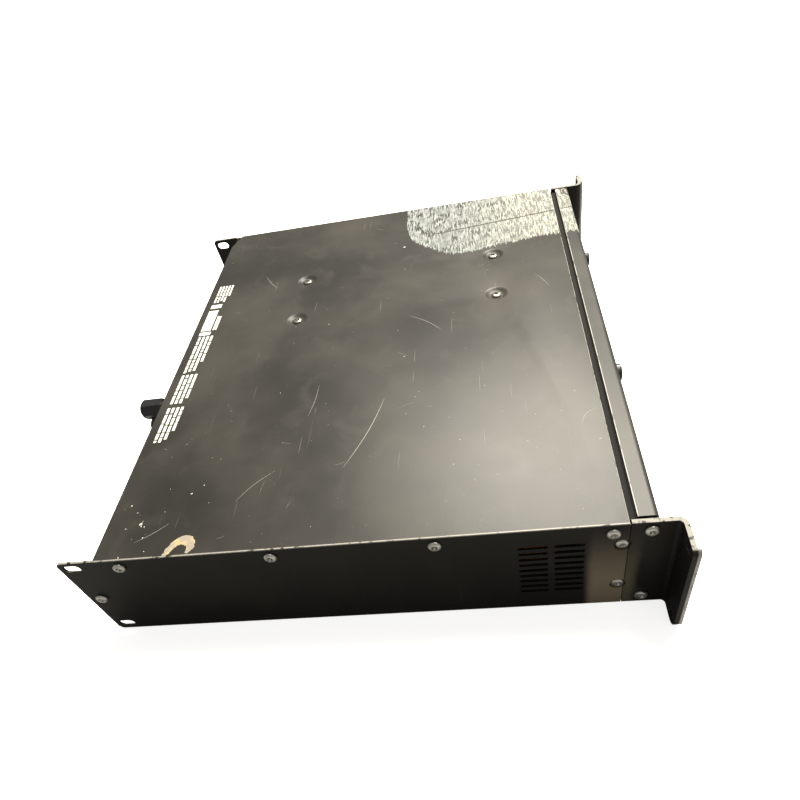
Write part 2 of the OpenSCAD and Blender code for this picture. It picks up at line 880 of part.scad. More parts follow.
module mode_switch() {
    color("#303030") difference() {
        block([mode_x - 11, rear_in_y - 10, mode_z - 6], [mode_x + 11, rear_in_y, mode_z + 6]);
        block([mode_x - 5.6, rear_in_y - 6, mode_z - 2.6], [mode_x + 5.6, rear_in_y + 1, mode_z + 2.6]);
    }
}

module mode_slider() {
    color("#d8d8d2")
        block([mode_x - 2, rear_in_y - 5.6, mode_z - 2.2], [mode_x + 2, rear_y + 1.6, mode_z + 2.2]);
}

// ---- Power supply ----

module toroidal_transformer() {
    hole_r = 22;
    edge = 12;
    r = toroid_d / 2;
    color("#c0702a") translate([toroid_x, toroid_y, tray_t + pad_t]) rotate_extrude($fn = 96) {
        translate([hole_r, edge]) square([r - hole_r, toroid_h - 2 * edge]);
        translate([hole_r + edge, 0]) square([r - hole_r - 2 * edge, toroid_h]);
        for (x = [hole_r + edge, r - edge], z = [edge, toroid_h - edge]) translate([x, z]) circle(edge);
    }
}

module transformer_pad() {
    color("#222222") translate([toroid_x, toroid_y, tray_t]) difference() {
        cylinder(r = toroid_d / 2 - 6, h = pad_t);
        translate([0, 0, -1]) cylinder(r = 5, h = pad_t + 2);
    }
}

module transformer_clamp() {
    top = tray_t + pad_t + toroid_h;
    color("#8a8d90") translate([toroid_x, toroid_y, top]) rotate_extrude()
        polygon([[3.2, -3], [20, -3], [23, 0], [50, 0], [50, 2], [22.4, 2], [19.2, -1], [3.2, -1]]);
}

module transformer_bolt() {
    top = tray_t + pad_t + toroid_h - 1;
    color("#b5b5b0") translate([toroid_x, toroid_y, 0]) {
        translate([0, 0, 0.2]) cylinder(r = 3, h = top);
        translate([0, 0, top]) linear_extrude(5) hexagon(10);
    }
}

// Four cans with a rolled groove near the base and a vent recess in the top
module reservoir_capacitors() {
    r = 17.5;
    h = 50;
    pitch = 42;
    color("#1d2f4a") for (i = [0:3])
        translate([-178 + i * pitch, 66, board_z + board_t]) rotate_extrude()
            polygon([[0, 0], [r, 0], [r, 4], [r - 0.9, 5], [r, 6], [r, h - 1], [r - 1, h], [r - 3.5, h],
                     [r - 4.1, h - 0.6], [0, h - 0.6]]);
}

// ---- Heatsinks ----

// A base plate along the tunnel with fins towards its middle
module heatsink() {
    fin_pitch = 8.4;
    fin_t = 2;
    fin_tip_x = 2;
    lowest_fin_z = 6;
    color("#9b9da0") difference() {
        union() {
            block([sink_in_x, sink_y, tray_t + 0.4],
                  [sink_in_x + sink_base_t, sink_y + sink_len, sink_top_z]);
            for (z = [lowest_fin_z : fin_pitch : lowest_fin_z + (fin_count - 1) * fin_pitch])
                block([fin_tip_x, sink_y, z], [sink_in_x + 1, sink_y + sink_len, z + fin_t]);
        }
        for (y = dimple_y)
            translate([dimple_x[1] - tunnel_x, y, sink_top_z - 12]) cylinder(r = screw_hole_r, h = 14);
    }
}

module left_heatsink() {
    translate([tunnel_x, 0, 0]) mirror([1, 0, 0]) heatsink();
}

module right_heatsink() {
    translate([tunnel_x, 0, 0]) heatsink();
}

module output_transistors() {
    count = 5;
    pitch = 48;
    body = [5, 16, 21];
    hole_z = 16;
    face_x = sink_in_x + sink_base_t;
    color("#151515") translate([tunnel_x, 0, 0]) both_sides() for (i = [0:count - 1])
        translate([face_x, sink_y + 30 + i * pitch, 36]) difference() {
            cube(body);
            translate([-1, body[1] / 2, hole_z]) rotate([0, 90, 0]) cylinder(r = 1.7, h = body[0] + 2);
        }
}

// ---- Boards ----

module main_board() {
    color("#24512f") block(main_board_xy[0], main_board_xy[1] + [0, 0, board_t]);
}

module driver_board() {
    color("#24512f") block(driver_board_xy[0], driver_board_xy[1] + [0, 0, board_t]);
}

// One under each corner of both boards
module board_standoffs() {
    inset = 6;
    color("#c9c9c4") for (b = [main_board_xy, driver_board_xy], i = [0, 1], j = [0, 1])
        translate([i ? b[1][0] - inset : b[0][0] + inset, j ? b[1][1] - inset : b[0][1] + inset, tray_t])
            cylinder(r = 3, h = board_z - tray_t);
}

// ---- Fasteners ----

module cover_screws() {
    color("#b9b8b2") both_sides() for (y = cover_screw_y)
        translate([half_w, y, cover_screw_z]) rotate([0, 90, 0]) pan_screw(7);
}

module dimple_screws() {
    color("#55524c") for (x = dimple_x, y = dimple_y)
        translate([x, y, case_h - dimple_depth]) pan_screw(11, r = 4.2, h = 2);
}

module ear_screws() {
    color("#b9b8b2") both_sides() {
        for (z = ear_screw_z)
            translate([half_w, ear_screw_y, z]) rotate([0, 90, 0]) pan_screw(7);
        for (z = tongue_screw_z)
            translate([wall_in_x - body_gap, tongue_screw_y, z]) rotate([0, 90, 0])
                pan_screw(5, r = 4.2, h = 2);
        translate([half_w, tab_screw_y, mid_z]) rotate([0, 90, 0]) pan_screw(4);
    }
}

module rear_screws() {
    color("#8c8c88") {
        for (sx = [-1, 1], sz = [-1, 1])
            translate([tunnel_x + sx * fan_hole, rear_y + 1.2, fan_z + sz * fan_hole])
                rotate([-90, 0, 0]) pan_screw(22, r = 3.9);
        for (s = [-1, 1]) translate([inlet_x + s * inlet_screw_x, rear_y + 2, mid_z])
            rotate([-90, 0, 0]) pan_screw(6, r = 3.6, h = 2);
    }
}

chassis_tray();
top_cover();
front_panel();
rear_panel();
left_ear_bracket();
right_ear_bracket();
left_ear_facing();
right_ear_facing();
gain_knob_1();
gain_knob_2();
gain_shaft_1();
gain_shaft_2();
gain_pot_1();
gain_pot_2();
gain_nuts();
power_switch_body();
power_rocker();
indicator_lenses();
front_boards();
power_inlet();
inlet_pins();
breaker_body();
breaker_button();
fan_frame();
fan_rotor();
fan_guard();
post_base();
post_studs();
post_washer_1();
post_washer_2();
post_washer_3();
post_washer_4();
post_cap_1();
post_cap_2();
post_cap_3();
post_cap_4();
xlr_input_1();
xlr_input_2();
xlr_inserts();
xlr_latch_1();
xlr_latch_2();
jack_inputs();
rear_nuts();
mode_switch();
mode_slider();
toroidal_transformer();
transformer_pad();
transformer_clamp();
transformer_bolt();
left_heatsink();
right_heatsink();
output_transistors();
main_board();
driver_board();
reservoir_capacitors();
board_standoffs();
cover_screws();
dimple_screws();
ear_screws();
rear_screws();
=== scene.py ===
import math
import random

import bmesh
import bpy
from mathutils import Matrix, Vector


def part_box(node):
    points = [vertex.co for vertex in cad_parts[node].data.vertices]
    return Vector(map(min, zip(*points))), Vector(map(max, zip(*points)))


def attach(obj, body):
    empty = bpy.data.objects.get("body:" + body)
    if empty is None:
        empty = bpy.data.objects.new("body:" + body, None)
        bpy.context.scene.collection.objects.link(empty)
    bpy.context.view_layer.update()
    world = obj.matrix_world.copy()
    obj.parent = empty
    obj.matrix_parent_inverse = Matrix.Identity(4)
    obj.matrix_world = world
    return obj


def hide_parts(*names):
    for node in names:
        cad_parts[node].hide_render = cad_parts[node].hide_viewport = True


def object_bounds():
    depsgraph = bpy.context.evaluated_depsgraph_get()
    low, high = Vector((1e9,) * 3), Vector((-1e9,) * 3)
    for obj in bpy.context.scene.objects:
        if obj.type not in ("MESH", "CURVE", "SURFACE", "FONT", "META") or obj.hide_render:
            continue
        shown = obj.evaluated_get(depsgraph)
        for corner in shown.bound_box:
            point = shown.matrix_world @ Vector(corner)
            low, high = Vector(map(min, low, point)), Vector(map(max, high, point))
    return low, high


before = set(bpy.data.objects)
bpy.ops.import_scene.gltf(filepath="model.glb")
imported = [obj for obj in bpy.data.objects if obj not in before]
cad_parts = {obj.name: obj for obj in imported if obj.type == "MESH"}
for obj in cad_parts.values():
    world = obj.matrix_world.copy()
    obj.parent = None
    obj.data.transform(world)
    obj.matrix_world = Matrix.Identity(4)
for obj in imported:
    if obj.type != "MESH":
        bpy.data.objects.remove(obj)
CAD_LOW, CAD_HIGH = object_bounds()

bl_info = {
    "name": "Rack Amplifier Finishes",
    "version": (1, 0, 0),
    "blender": (4, 5, 0),
    "location": "3D View > Sidebar > Rack Amplifier",
    "description": "Builds the sheet skin, screws, prints and finishes of a two-unit power amplifier",
    "category": "Object",
}

MM = 0.001
FULL_TURN = 2 * math.pi
UP = Vector((0, 0, 1))
COVER_LOW, COVER_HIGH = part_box("top_cover")
REAR_LOW, REAR_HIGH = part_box("rear_panel")
COVER_TOP = COVER_HIGH.z
PANEL_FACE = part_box("front_panel")[0].y
STRIP_DEPTH = 12.5 * MM
STRIP_REAR = PANEL_FACE + STRIP_DEPTH
REAR_FACE = REAR_HIGH.y


# ---- Settings that a user would change ----


def size_setting(name, description, millimetres):
    """A length setting, given in millimetres and kept in metres."""
    return bpy.props.FloatProperty(
        name=name, description=description, default=millimetres * MM, unit="LENGTH", precision=5
    )


def colour_setting(name, description, colour):
    """A linear colour setting."""
    return bpy.props.FloatVectorProperty(
        name=name, description=description, default=colour, subtype="COLOR", min=0, max=1
    )


def share_setting(name, description, share):
    """A setting from nothing to all."""
    return bpy.props.FloatProperty(
        name=name, description=description, default=share, min=0, max=1, subtype="FACTOR"
    )


class AmpCoverSettings(bpy.types.PropertyGroup):
    """Sizes of the pressed cover sheet."""

    sheet: size_setting("Sheet", "Thickness of the cover's steel", 1.2)
    edge_round: size_setting("Edge round", "Rounding of the sheet's outer edge", 0.5)
    corner_x: size_setting("Corner width", "Width of the cut far rear corner", 22.8)
    corner_y: size_setting("Corner depth", "Depth of the cut far rear corner", 7.5)
    dimple_r: size_setting("Dimple radius", "Outer radius of a pressed dimple", 10.4)
    floor_r: size_setting("Dimple floor", "Radius of a dimple's flat floor", 5.2)
    dimple_depth: size_setting("Dimple depth", "Depth of a dimple under the sheet", 2.2)
    hole_r: size_setting("Hole radius", "Radius of the screw hole in a dimple", 2.1)


class AmpScrewSettings(bpy.types.PropertyGroup):
    """Sizes of the pan-head screws."""

    shank_r: size_setting("Shank radius", "Radius of a screw's thread", 2.0)
    cross_w: size_setting("Cross width", "Width of a wing of the cross recess", 1.15)
    cross_share: share_setting("Cross reach", "Reach of the cross as a share of the head's radius", 0.62)
    cone_share: share_setting("Recess cone", "Radius of the cross's centre as a share of the head's", 0.42)


class AmpFinishSettings(bpy.types.PropertyGroup):
    """Colours of the finishes."""

    paint: colour_setting("Cover paint", "Textured paint of the cover and the front", (0.020, 0.019, 0.017))
    paint_worn: colour_setting("Worn paint", "Paint where it is rubbed", (0.050, 0.046, 0.039))
    case_black: colour_setting("Case black", "Paint of the tray and the ears", (0.010, 0.0093, 0.0075))
    # Also the colour of the painted highlight along the lit edges of the cover and the sheets, where it mixes
    # with chipped paint.
    bare_steel_and_highlight: colour_setting("Bare steel", "Steel where the paint is gone", (0.52, 0.50, 0.45))
    print_white: colour_setting("Print", "Ink of the printed bars and ticks", (0.80, 0.79, 0.74))
    tape_cool: colour_setting("Tape, cool", "Tape remains at the rear", (0.33, 0.355, 0.35))
    tape_warm: colour_setting("Tape, warm", "Tape remains at the front", (0.50, 0.485, 0.41))
    zinc: colour_setting("Zinc", "Plating of the screws", (0.66, 0.65, 0.61))
    dark_plate: colour_setting("Dark plating", "Plating of the dimple screws", (0.40, 0.38, 0.34))
    moulding: colour_setting("Moulding", "Black plastic of the fittings", (0.018, 0.018, 0.018))
    rocker: colour_setting("Red", "Plastic of the rocker and the breaker's button", (0.42, 0.03, 0.02))
    lens: colour_setting("Lens", "Plastic of the indicator lenses", (0.06, 0.42, 0.10))
    brass: colour_setting("Brass", "Plated contacts", (0.72, 0.53, 0.22))
    facing: colour_setting("Facing", "Light plate on the front of each ear", (0.46, 0.45, 0.43))


class AmpStageSettings(bpy.types.PropertyGroup):
    """Camera, floor and light."""

    camera_x: size_setting("Camera X", "Camera place along the width", -442.7)
    camera_y: size_setting("Camera Y", "Camera place along the depth", -102.8)
    camera_z: size_setting("Camera Z", "Camera height", 393.0)
    heading: bpy.props.FloatProperty(
        name="Heading", description="Turn of the camera about the vertical",
        default=math.radians(-76.39), subtype="ANGLE")
    tilt: bpy.props.FloatProperty(
        name="Tilt", description="Tilt of the camera up from straight down",
        default=math.radians(42.59), subtype="ANGLE")
    roll: bpy.props.FloatProperty(
        name="Roll", description="Roll of the camera about its own axis",
        default=math.radians(-15.06), subtype="ANGLE")
    lens: bpy.props.FloatProperty(
        name="Lens", description="Focal length in millimetres", default=28.15, unit="CAMERA")
    shift_x: bpy.props.FloatProperty(name="Shift X", description="Sideways shift", default=-0.0103)
    shift_y: bpy.props.FloatProperty(name="Shift Y", description="Upward shift", default=0.1009)
    floor: colour_setting("Floor", "Colour of the pale floor", (0.90, 0.90, 0.90))
    sky: bpy.props.FloatProperty(
        name="Sky", description="Strength of the even light all round", default=0.34, min=0)
    key_power: bpy.props.FloatProperty(
        name="Key light", description="Power of the large soft light", default=86, min=0, unit="POWER")
    key_heading: bpy.props.FloatProperty(
        name="Key heading", description="Heading of the soft light seen from the case",
        default=math.radians(-36), subtype="ANGLE")
    key_height: bpy.props.FloatProperty(
        name="Key height", description="Angle of the soft light above the floor",
        default=math.radians(60), subtype="ANGLE")
    sky_colour: colour_setting("Sky colour", "Tint of the even light", (1.0, 0.97, 0.90))
    key_colour: colour_setting("Key colour", "Tint of the soft light", (1.0, 0.945, 0.82))
    floor_glow: bpy.props.FloatProperty(
        name="Floor glow", description="Even glow of the floor towards the camera", default=0.76, min=0)
    bounce: share_setting("Bounce", "How light the floor is to the case standing on it", 0.30)
    key_size: size_setting("Key size", "Width of the large soft light", 1100)
    key_distance: size_setting("Key distance", "Distance of the soft light from the case", 1700)


# ---- Node materials ----


class Recipe:
    """A node material whose patterns all stand on Object coordinates, in metres."""

    def __init__(self, name, colour, roughness, metallic=0.0, specular=0.5):
        self.material = bpy.data.materials.new(name)
        self.material.use_nodes = True
        self.tree = self.material.node_tree
        self.shader = self.tree.nodes["Principled BSDF"]
        self.place = self.tree.nodes.new("ShaderNodeTexCoord").outputs["Object"]
        self.shader.inputs["Metallic"].default_value = metallic
        self.shader.inputs["Specular IOR Level"].default_value = specular
        self.colour(tuple(colour) + (1,))
        self.roughness(roughness)
        self.axes = None
        self.normal = None

    def connect(self, value, socket):
        """Links a socket to another, or writes a plain value in it."""
        if isinstance(value, bpy.types.NodeSocket):
            self.tree.links.new(value, socket)
        else:
            socket.default_value = value

    def node(self, kind, inputs, output=0, **settings):
        """Adds a node with its settings and inputs, and returns one output."""
        made = self.tree.nodes.new(kind)
        for key, value in settings.items():
            setattr(made, key, value)
        for key, value in inputs.items():
            self.connect(value, made.inputs[key])
        return made.outputs[output]

    def colour(self, value):
        self.connect(value, self.shader.inputs["Base Color"])

    def roughness(self, value):
        self.connect(value, self.shader.inputs["Roughness"])

    def math(self, operation, first, second=0.0):
        return self.node("ShaderNodeMath", {0: first, 1: second}, operation=operation)

    def axis(self, name):
        """The X, Y or Z of the point on the object."""
        if self.axes is None:
            self.axes = self.node("ShaderNodeSeparateXYZ", {0: self.place}).node.outputs
        return self.axes[name]

    def noise(self, scale, detail=2.0, stretch=None, turn=0.0, distortion=0.0):
        """Noise of that many waves a metre, drawn out along the axes by stretch."""
        place = self.place
        if stretch or turn:
            place = self.node("ShaderNodeMapping", {0: place, 2: (0, 0, turn), 3: stretch or (1, 1, 1)})
        inputs = {"Vector": place, "Scale": scale, "Detail": detail, "Distortion": distortion}
        return self.node("ShaderNodeTexNoise", inputs)

    def step(self, value, low, high):
        """Rises smoothly from 0 at low to 1 at high."""
        return self.node(
            "ShaderNodeMapRange", {0: value, 1: low, 2: high, 3: 0.0, 4: 1.0}, interpolation_type="SMOOTHSTEP"
        )

    def span(self, value, low, high, soft):
        """1 between low and high, with soft borders."""
        return self.math("MULTIPLY", self.step(value, low - soft, low), self.step(value, high + soft, high))

    def both(self, first, *others):
        """The product of several masks."""
        for other in others:
            first = self.math("MULTIPLY", first, other)
        return first

    def either(self, first, *others):
        """The strongest of several masks."""
        for other in others:
            first = self.math("MAXIMUM", first, other)
        return first

    def blend(self, share, first, second):
        """Mixes two colours."""
        first, second = (
            tuple(c)[:3] + (1,) if not isinstance(c, bpy.types.NodeSocket) else c for c in (first, second)
        )
        return self.node("ShaderNodeMix", {0: share, 6: first, 7: second}, output=2, data_type="RGBA")

    def level(self, share, low, high):
        """A plain number that goes from low to high with a mask."""
        return self.node("ShaderNodeMapRange", {0: share, 1: 0.0, 2: 1.0, 3: low, 4: high})

    def relief(self, height, distance, strength=1.0):
        """Adds fine relief of that many metres to the surface."""
        inputs = {"Height": height, "Distance": distance, "Strength": strength}
        if self.normal is not None:
            inputs["Normal"] = self.normal
        self.normal = self.node("ShaderNodeBump", inputs)
        self.connect(self.normal, self.shader.inputs["Normal"])

    def scratches(self, turn, fineness, share):
        """Fine straight scratches along one direction, gathered in patches."""
        lines = self.noise(1.0, 1.0, stretch=(fineness / 60, fineness, fineness / 60), turn=turn)
        patches = self.noise(16 + 5 * turn, 1.0)
        return self.both(
            self.step(lines, 0.80 - share, 0.83 - share), self.step(patches, 0.52, 0.60)
        )


# The tape's remains, in the case's own frame. The border gives, from rear to front, how far in from
# the side the tape reached, each as a share.
TAPE_REAR = -20 * MM
TAPE_FRONT = -190 * MM
TAPE_OUTER = 220 * MM
TAPE_WIDTH = 120 * MM
TAPE_BORDER = [(0, 0.98), (0.035, 0.46), (0.15, 0.26), (0.29, 0.12), (0.55, 0.155), (0.77, 0.20), (1, 0.20)]
TAPE_SEAM_X = 157.7 * MM
TAPE_SEAM_Y = -55 * MM
TAPE_SEAM_SLOPE = -0.11
TORN_CORNER_X = 196 * MM


def residue_masks(recipe):
    """Where tape was pulled off the far front corner: its cover, its threads and the gaps in it."""
    x, y = recipe.axis("X"), recipe.axis("Y")
    along = recipe.node("ShaderNodeMapRange", {0: y, 1: TAPE_REAR, 2: TAPE_FRONT, 3: 0.0, 4: 1.0})
    border = recipe.node("ShaderNodeFloatCurve", {0: 1.0, 1: along})
    curve = border.node.mapping.curves[0]
    for place, width in TAPE_BORDER[1:-1]:
        curve.points.new(place, width)
    curve.points[0].location = TAPE_BORDER[0]
    curve.points[-1].location = TAPE_BORDER[-1]
    border.node.mapping.update()
    inner_x = recipe.level(border, TAPE_OUTER - TAPE_WIDTH, TAPE_OUTER)
    fringe = recipe.noise(1.0, 2.0, stretch=(70, 560, 90))
    blobs = recipe.noise(95, 3.0)
    ragged = recipe.math("MULTIPLY", recipe.math("SUBTRACT", fringe, 0.5), 17 * MM)
    reach = recipe.math("ADD", recipe.math("SUBTRACT", x, inner_x), ragged)
    inside = recipe.both(
        recipe.step(reach, -0.3 * MM, 0.6 * MM),
        recipe.step(recipe.math("ADD", y, ragged), TAPE_REAR + 1 * MM, TAPE_REAR - 1 * MM),
        recipe.step(recipe.axis("Z"), COVER_TOP - 3 * MM, COVER_TOP - 1 * MM),
    )
    threads = recipe.noise(1.0, 3.0, stretch=(120, 760, 110))
    flecks = recipe.noise(420, 2.0)
    slope = recipe.math("MULTIPLY", recipe.math("SUBTRACT", y, TAPE_SEAM_Y), TAPE_SEAM_SLOPE)
    seam_x = recipe.math("SUBTRACT", x, recipe.math("ADD", slope, TAPE_SEAM_X))
    seam = recipe.both(
        recipe.span(recipe.math("ADD", seam_x, recipe.math("MULTIPLY", ragged, 0.14)),
                    -0.7 * MM, 0.7 * MM, 0.9 * MM),
        recipe.step(y, TAPE_SEAM_Y + 8 * MM, TAPE_SEAM_Y),
    )
    bald = recipe.both(recipe.step(blobs, 0.44, 0.60), recipe.step(y, -175 * MM, -60 * MM))
    holes = recipe.either(
        recipe.both(recipe.step(threads, 0.50, 0.42), recipe.level(bald, 0.25, 1.0)),
        recipe.both(recipe.step(flecks, 0.40, 0.34), 0.8),
    )
    corner = recipe.both(
        recipe.step(recipe.math("ADD", x, recipe.math("MULTIPLY", ragged, 0.25)),
                    TORN_CORNER_X, TORN_CORNER_X + 3 * MM),
        recipe.step(y, STRIP_REAR - 4 * MM, STRIP_REAR - 5 * MM),
        recipe.step(flecks, 0.62, 0.54),
    )
    return inside, threads, blobs, recipe.either(seam, holes, corner)


def cover_paint(look):
    """Textured dark paint with haze, scratches, light edges that are partly chipped paint and partly a
    painted highlight, painted shade in the channel behind the front strip and along the strip's rounded front
    nose, and the remains of tape.
    """
    r = Recipe("textured_cover_paint", look.paint, 0.42, specular=0.42)
    x, y, z = r.axis("X"), r.axis("Y"), r.axis("Z")
    clouds = r.noise(11, 4.0)
    haze = r.noise(34, 3.0, distortion=0.6)
    pimples = r.noise(900, 2.0)
    paint = r.blend(r.step(clouds, 0.30, 0.76), look.paint, look.paint_worn)
    paint = r.blend(r.math("MULTIPLY", r.step(haze, 0.52, 0.75), 0.5), paint, look.paint_worn)
    marks = r.either(
        r.scratches(0.35, 760, 0.05), r.scratches(-0.9, 700, 0.045), r.scratches(1.3, 820, 0.045)
    )
    specks = r.step(r.noise(330, 1.0), 0.755, 0.80)
    paint = r.blend(r.math("MULTIPLY", r.either(marks, specks), 0.30), paint, (0.30, 0.285, 0.25))
    side = r.math("ABSOLUTE", x)
    chips = r.noise(210, 3.0)
    # Light lines along the side edges and both edges of the channel behind the front strip: chipped paint in
    # part, and in part a painted highlight along these lit edges.
    rim = r.either(
        r.step(side, COVER_HIGH.x - 1.3 * MM, COVER_HIGH.x - 0.5 * MM),
        r.span(y, COVER_LOW.y - 0.4 * MM, COVER_LOW.y + 0.3 * MM, 0.25 * MM),
        r.span(y, STRIP_REAR - 0.4 * MM, STRIP_REAR + 0.2 * MM, 0.25 * MM),
    )
    rim = r.both(rim, r.step(z, COVER_TOP - 0.9 * MM, COVER_TOP - 0.4 * MM), r.step(chips, 0.30, 0.48))
    paint = r.blend(r.math("MULTIPLY", rim, 0.8), paint, look.bare_steel_and_highlight)
    # Painted shade: near-black in the channel behind the front strip and along the strip's rounded front
    # nose; the same mask also makes these places rougher.
    groove_shade = r.both(
        r.span(y, STRIP_REAR + 0.2 * MM, COVER_LOW.y - 0.2 * MM, 0.1 * MM),
        r.step(z, COVER_TOP - 1.5 * MM, COVER_TOP - 2.5 * MM),
    )
    nose_shade = r.step(y, PANEL_FACE + 1.8 * MM, PANEL_FACE + 0.5 * MM)
    painted_shade = r.either(groove_shade, r.math("MULTIPLY", nose_shade, 0.7))
    paint = r.blend(painted_shade, paint, (0.004, 0.0035, 0.003))
    taped, threads, blobs, gaps = residue_masks(r)
    tape = r.blend(r.step(y, -60 * MM, -150 * MM), look.tape_cool, look.tape_warm)
    tape = r.blend(r.math("MULTIPLY", r.step(threads, 0.62, 0.42), 0.8), tape, (0.10, 0.105, 0.10))
    shaded = tuple(0.6 * c for c in look.tape_cool)
    tape = r.blend(r.math("MULTIPLY", r.step(blobs, 0.62, 0.42), 0.5), tape, shaded)
    kept = r.both(taped, r.math("SUBTRACT", 1.0, r.math("MULTIPLY", gaps, 0.88)))
    r.colour(r.blend(kept, paint, tape))
    gloss = r.math("ADD", r.level(clouds, 0.41, 0.46), r.level(haze, -0.03, 0.03))
    r.roughness(r.math("MAXIMUM", gloss, r.level(r.either(kept, painted_shade), 0.0, 0.85)))
    r.relief(pimples, 0.06 * MM, 0.55)
    r.relief(r.both(kept, r.math("ADD", threads, blobs)), 0.25 * MM, 0.8)
    r.relief(r.math("SUBTRACT", 1.0, r.either(marks, rim)), 0.03 * MM, 0.5)
    return r.material


# The rubbed share sets how strong the painted reflection at the front end of the sides is; it is not wear.
def black_sheet(look, name="black_sheet_paint", rubbed=1.0):
    """Near-black sheet metal paint with light edges, partly worn paint and partly a painted highlight, and a
    painted reflection in lighter grey at the front end of each side.
    """
    r = Recipe(name, look.case_black, 0.46, specular=0.22)
    y, z = r.axis("Y"), r.axis("Z")
    clouds = r.noise(16, 3.0)
    chips = r.noise(240, 3.0)
    # Painted reflection: a lighter, warmer grey patch at the front end of each side, stronger towards the
    # bottom, standing in for glare.
    glare_patch = r.span(r.math("ADD", y, r.level(clouds, -3 * MM, 3 * MM)), -174 * MM, -151 * MM, 7 * MM)
    glare_patch = r.both(glare_patch, r.step(z, 90 * MM, 20 * MM))
    paint = r.blend(r.step(clouds, 0.35, 0.7), look.case_black, tuple(1.7 * c for c in look.case_black))
    paint = r.blend(r.math("MULTIPLY", glare_patch, rubbed), paint, (0.26, 0.215, 0.15))
    marks = r.either(r.scratches(0.2, 600, 0.05), r.scratches(1.1, 700, 0.05))
    # Light edges at the bottom and the top, broken by chips: partly worn paint, and partly a painted
    # highlight along the lit top edge.
    edge = r.either(r.step(z, 0.9 * MM, 0.3 * MM), r.step(z, COVER_TOP - 0.7 * MM, COVER_TOP - 0.2 * MM))
    edge = r.both(edge, r.step(chips, 0.34, 0.46))
    paint = r.blend(r.math("MULTIPLY", marks, 0.20), paint, (0.20, 0.18, 0.15))
    r.colour(r.blend(r.math("MULTIPLY", edge, 0.55), paint, look.bare_steel_and_highlight))
    r.roughness(r.level(clouds, 0.40, 0.56))
    r.relief(r.noise(1000, 2.0), 0.03 * MM, 0.4)
    r.relief(r.math("SUBTRACT", 1.0, edge), 0.05 * MM, 0.5)
    return r.material


def moulded(name, colour, roughness=0.45, specular=0.45, grain=0.02):
    """Moulded plastic with fine grain, faint flow clouds and dust."""
    r = Recipe(name, colour, roughness, specular=specular)
    clouds = r.noise(45, 3.0)
    dust = r.step(r.noise(420, 2.0), 0.66, 0.78)
    shade = r.blend(clouds, tuple(0.75 * c for c in colour), tuple(min(1, 1.3 * c) for c in colour))
    r.colour(r.blend(r.math("MULTIPLY", dust, 0.10), shade, (0.5, 0.48, 0.44)))
    r.roughness(r.level(clouds, roughness - 0.07, roughness + 0.10))
    r.relief(r.noise(2200, 2.0), grain * MM, 0.5)
    return r.material


def metal(name, colour, roughness=0.32, brush=None, grime=0.35):
    """Plain or brushed metal with stains in it."""
    r = Recipe(name, colour, roughness, metallic=1.0)
    clouds = r.noise(260, 3.0)
    lines = r.noise(1.0, 2.0, stretch=brush or (900, 900, 900))
    dull = r.step(clouds, 0.45, 0.75)
    shade = r.blend(r.math("MULTIPLY", dull, grime), colour, tuple(0.35 * c for c in colour))
    r.colour(shade)
    r.roughness(r.math("ADD", r.level(lines, roughness - 0.08, roughness + 0.08), r.level(dull, 0.0, 0.18)))
    r.relief(lines, 0.015 * MM, 0.5)
    return r.material


def printed_ink(look):
    """Screen-printed ink, thin in places and rubbed."""
    r = Recipe("print_ink", look.print_white, 0.6, specular=0.3)
    thin = r.step(r.noise(420, 3.0), 0.40, 0.30)
    worn = r.step(r.noise(70, 2.0), 0.60, 0.70)
    shade = r.blend(r.math("MULTIPLY", thin, 0.7), look.print_white, (0.16, 0.15, 0.13))
    r.colour(r.blend(r.math("MULTIPLY", worn, 0.35), shade, (0.30, 0.28, 0.24)))
    r.relief(r.noise(1500, 2.0), 0.02 * MM, 0.5)
    return r.material


def torn_paper():
    """The yellowed rest of a torn sticker."""
    r = Recipe("torn_paper", (0.70, 0.60, 0.38), 0.85, specular=0.2)
    fibres = r.noise(520, 4.0, distortion=0.4)
    stain = r.noise(150, 2.0)
    shade = r.blend(r.step(stain, 0.40, 0.60), (0.46, 0.37, 0.21), (0.33, 0.29, 0.24))
    r.colour(r.blend(r.step(fibres, 0.60, 0.74), shade, (0.26, 0.18, 0.09)))
    r.relief(fibres, 0.2 * MM, 0.7)
    return r.material


def knob_plastic(look, centre_x, centre_z):
    """Black knob with a white pointer line from its rim over its face."""
    r = Recipe("knob_plastic", look.moulding, 0.42, specular=0.4)
    x = r.math("SUBTRACT", r.axis("X"), centre_x)
    z = r.math("SUBTRACT", r.axis("Z"), centre_z)
    line = r.both(r.span(x, -0.55 * MM, 0.55 * MM, 0.08 * MM), r.step(z, 2.6 * MM, 2.8 * MM))
    clouds = r.noise(60, 3.0)
    black = r.blend(clouds, tuple(0.7 * c for c in look.moulding), tuple(1.4 * c for c in look.moulding))
    r.colour(r.blend(line, black, look.print_white))
    r.roughness(r.level(clouds, 0.36, 0.52))
    r.relief(r.noise(2000, 2.0), 0.02 * MM, 0.5)
    return r.material


def lens_plastic(look):
    """Clear green plastic of the indicator lenses."""
    r = Recipe("lens_plastic", look.lens, 0.16, specular=0.6)
    r.shader.inputs["Transmission Weight"].default_value = 0.35
    r.shader.inputs["IOR"].default_value = 1.49
    swirl = r.noise(900, 2.0)
    r.colour(r.blend(swirl, look.lens, tuple(1.8 * c for c in look.lens)))
    r.roughness(r.level(swirl, 0.10, 0.24))
    return r.material


